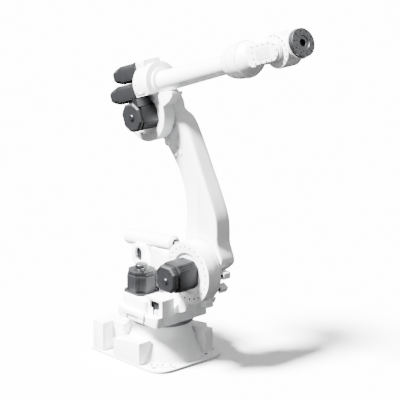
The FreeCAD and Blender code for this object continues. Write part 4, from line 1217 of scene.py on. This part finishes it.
def floor_finish():
    """A white floor that throws little light back up, as a studio's does when it is flagged off."""
    finish = Finish("studio_floor", Roughness=1.0, Specular_IOR_Level=0.0)
    grain = finish.noise(2.0, 4.0)
    white = finish.blend(grain, colour((0.97, 0.97, 0.97)), colour((0.985, 0.985, 0.985)))
    seen = finish.node("ShaderNodeLightPath")
    return finish.feed(Base_Color=finish.blend(seen, colour((0.012, 0.012, 0.012)), white))


class ROBOTARM_OT_stage(bpy.types.Operator):
    """Lays the floor and sets the sun, the fill softbox, the room's light and the camera"""

    bl_idname = "robot_arm.stage"
    bl_label = "Stage"

    def execute(self, context):
        studio = context.scene.arm_studio
        mesh = bpy.data.meshes.new("studio_floor")
        corners = [(x * FLOOR_REACH, y * FLOOR_REACH, FLOOR_LEVEL) for x, y in SQUARE]
        mesh.from_pydata(corners, [], [(0, 1, 2, 3)])
        mesh.materials.append(floor_finish())
        placed("studio_floor", mesh)
        world = bpy.data.worlds.new("studio")
        world.use_nodes = True
        background = world.node_tree.nodes["Background"]
        background.inputs[0].default_value = (1.0, 1.0, 1.0, 1.0)
        background.inputs[1].default_value = studio.ambient
        context.scene.world = world
        sun = bpy.data.lights.new("key", "SUN")
        sun.energy = studio.key
        sun.angle = studio.key_spread
        key = placed("key", sun)
        key.location = (-2.6, -5.4, 8.2)
        look_at(key, (0.0, 0.0, 0.0))
        softbox("fill", (6.5, -2.0, 3.0), (0.4, 0.0, 1.2), (5.0, 5.0), studio.fill)
        right = Vector((math.cos(studio.azimuth), math.sin(studio.azimuth), 0))
        back = Vector((math.sin(studio.azimuth) * math.cos(studio.elevation),
                       -math.cos(studio.azimuth) * math.cos(studio.elevation), math.sin(studio.elevation)))
        above = back.cross(right)
        target = Vector((0, 0, 1.0)) + 0.280 * right + 0.177 * above
        camera = placed("camera", bpy.data.cameras.new("camera"))
        camera.data.lens = studio.lens
        camera.data.sensor_width = 36.0
        camera.data.clip_end = 200.0
        camera.location = target + studio.distance * back
        look_at(camera, target)
        context.scene.camera = camera
        return {"FINISHED"}


class ROBOTARM_OT_frame_finishes(bpy.types.Operator):
    """Gives each CAD node that still shows the finish of its material slot"""

    bl_idname = "robot_arm.frame_finishes"
    bl_label = "Frame finishes"

    def execute(self, context):
        slots = {part["node"]: part["material_slot"] for part in frame["record"]["subparts"]}
        for name, node in NODES.items():
            node.data.materials.clear()
            node.data.materials.append(finish_of(FINISH_OF_SLOT[slots[name]]))
        return {"FINISHED"}


class ROBOTARM_PT_panel(bpy.types.Panel):
    """Lists the builders in the sidebar"""

    bl_idname = "ROBOTARM_PT_panel"
    bl_label = "Robot arm"
    bl_space_type = "VIEW_3D"
    bl_region_type = "UI"
    bl_category = "Robot arm"

    def draw(self, context):
        for operator in OPERATORS:
            self.layout.operator(operator.bl_idname)


OPERATORS = (
    ROBOTARM_OT_stage, ROBOTARM_OT_frame_finishes, ROBOTARM_OT_base, ROBOTARM_OT_castings,
    ROBOTARM_OT_shoulder, ROBOTARM_OT_counterbalance, ROBOTARM_OT_link_arm, ROBOTARM_OT_forearm,
    ROBOTARM_OT_wrist, ROBOTARM_OT_hand, ROBOTARM_OT_motors,
)
SETTINGS = {"arm_finishes": FinishSettings, "arm_castings": CastingSettings, "arm_studio": StudioSettings}


def register():
    for group in SETTINGS.values():
        bpy.utils.register_class(group)
    for label, group in SETTINGS.items():
        setattr(bpy.types.Scene, label, bpy.props.PointerProperty(type=group))
    for operator in OPERATORS:
        bpy.utils.register_class(operator)
    bpy.utils.register_class(ROBOTARM_PT_panel)


def unregister():
    bpy.utils.unregister_class(ROBOTARM_PT_panel)
    for operator in reversed(OPERATORS):
        bpy.utils.unregister_class(operator)
    for label in SETTINGS:
        delattr(bpy.types.Scene, label)
    for group in SETTINGS.values():
        bpy.utils.unregister_class(group)


def main():
    """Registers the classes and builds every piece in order."""
    register()
    for operator in OPERATORS:
        group, name = operator.bl_idname.split(".")
        getattr(getattr(bpy.ops, group), name)()


if __name__ == "__main__":
    main()
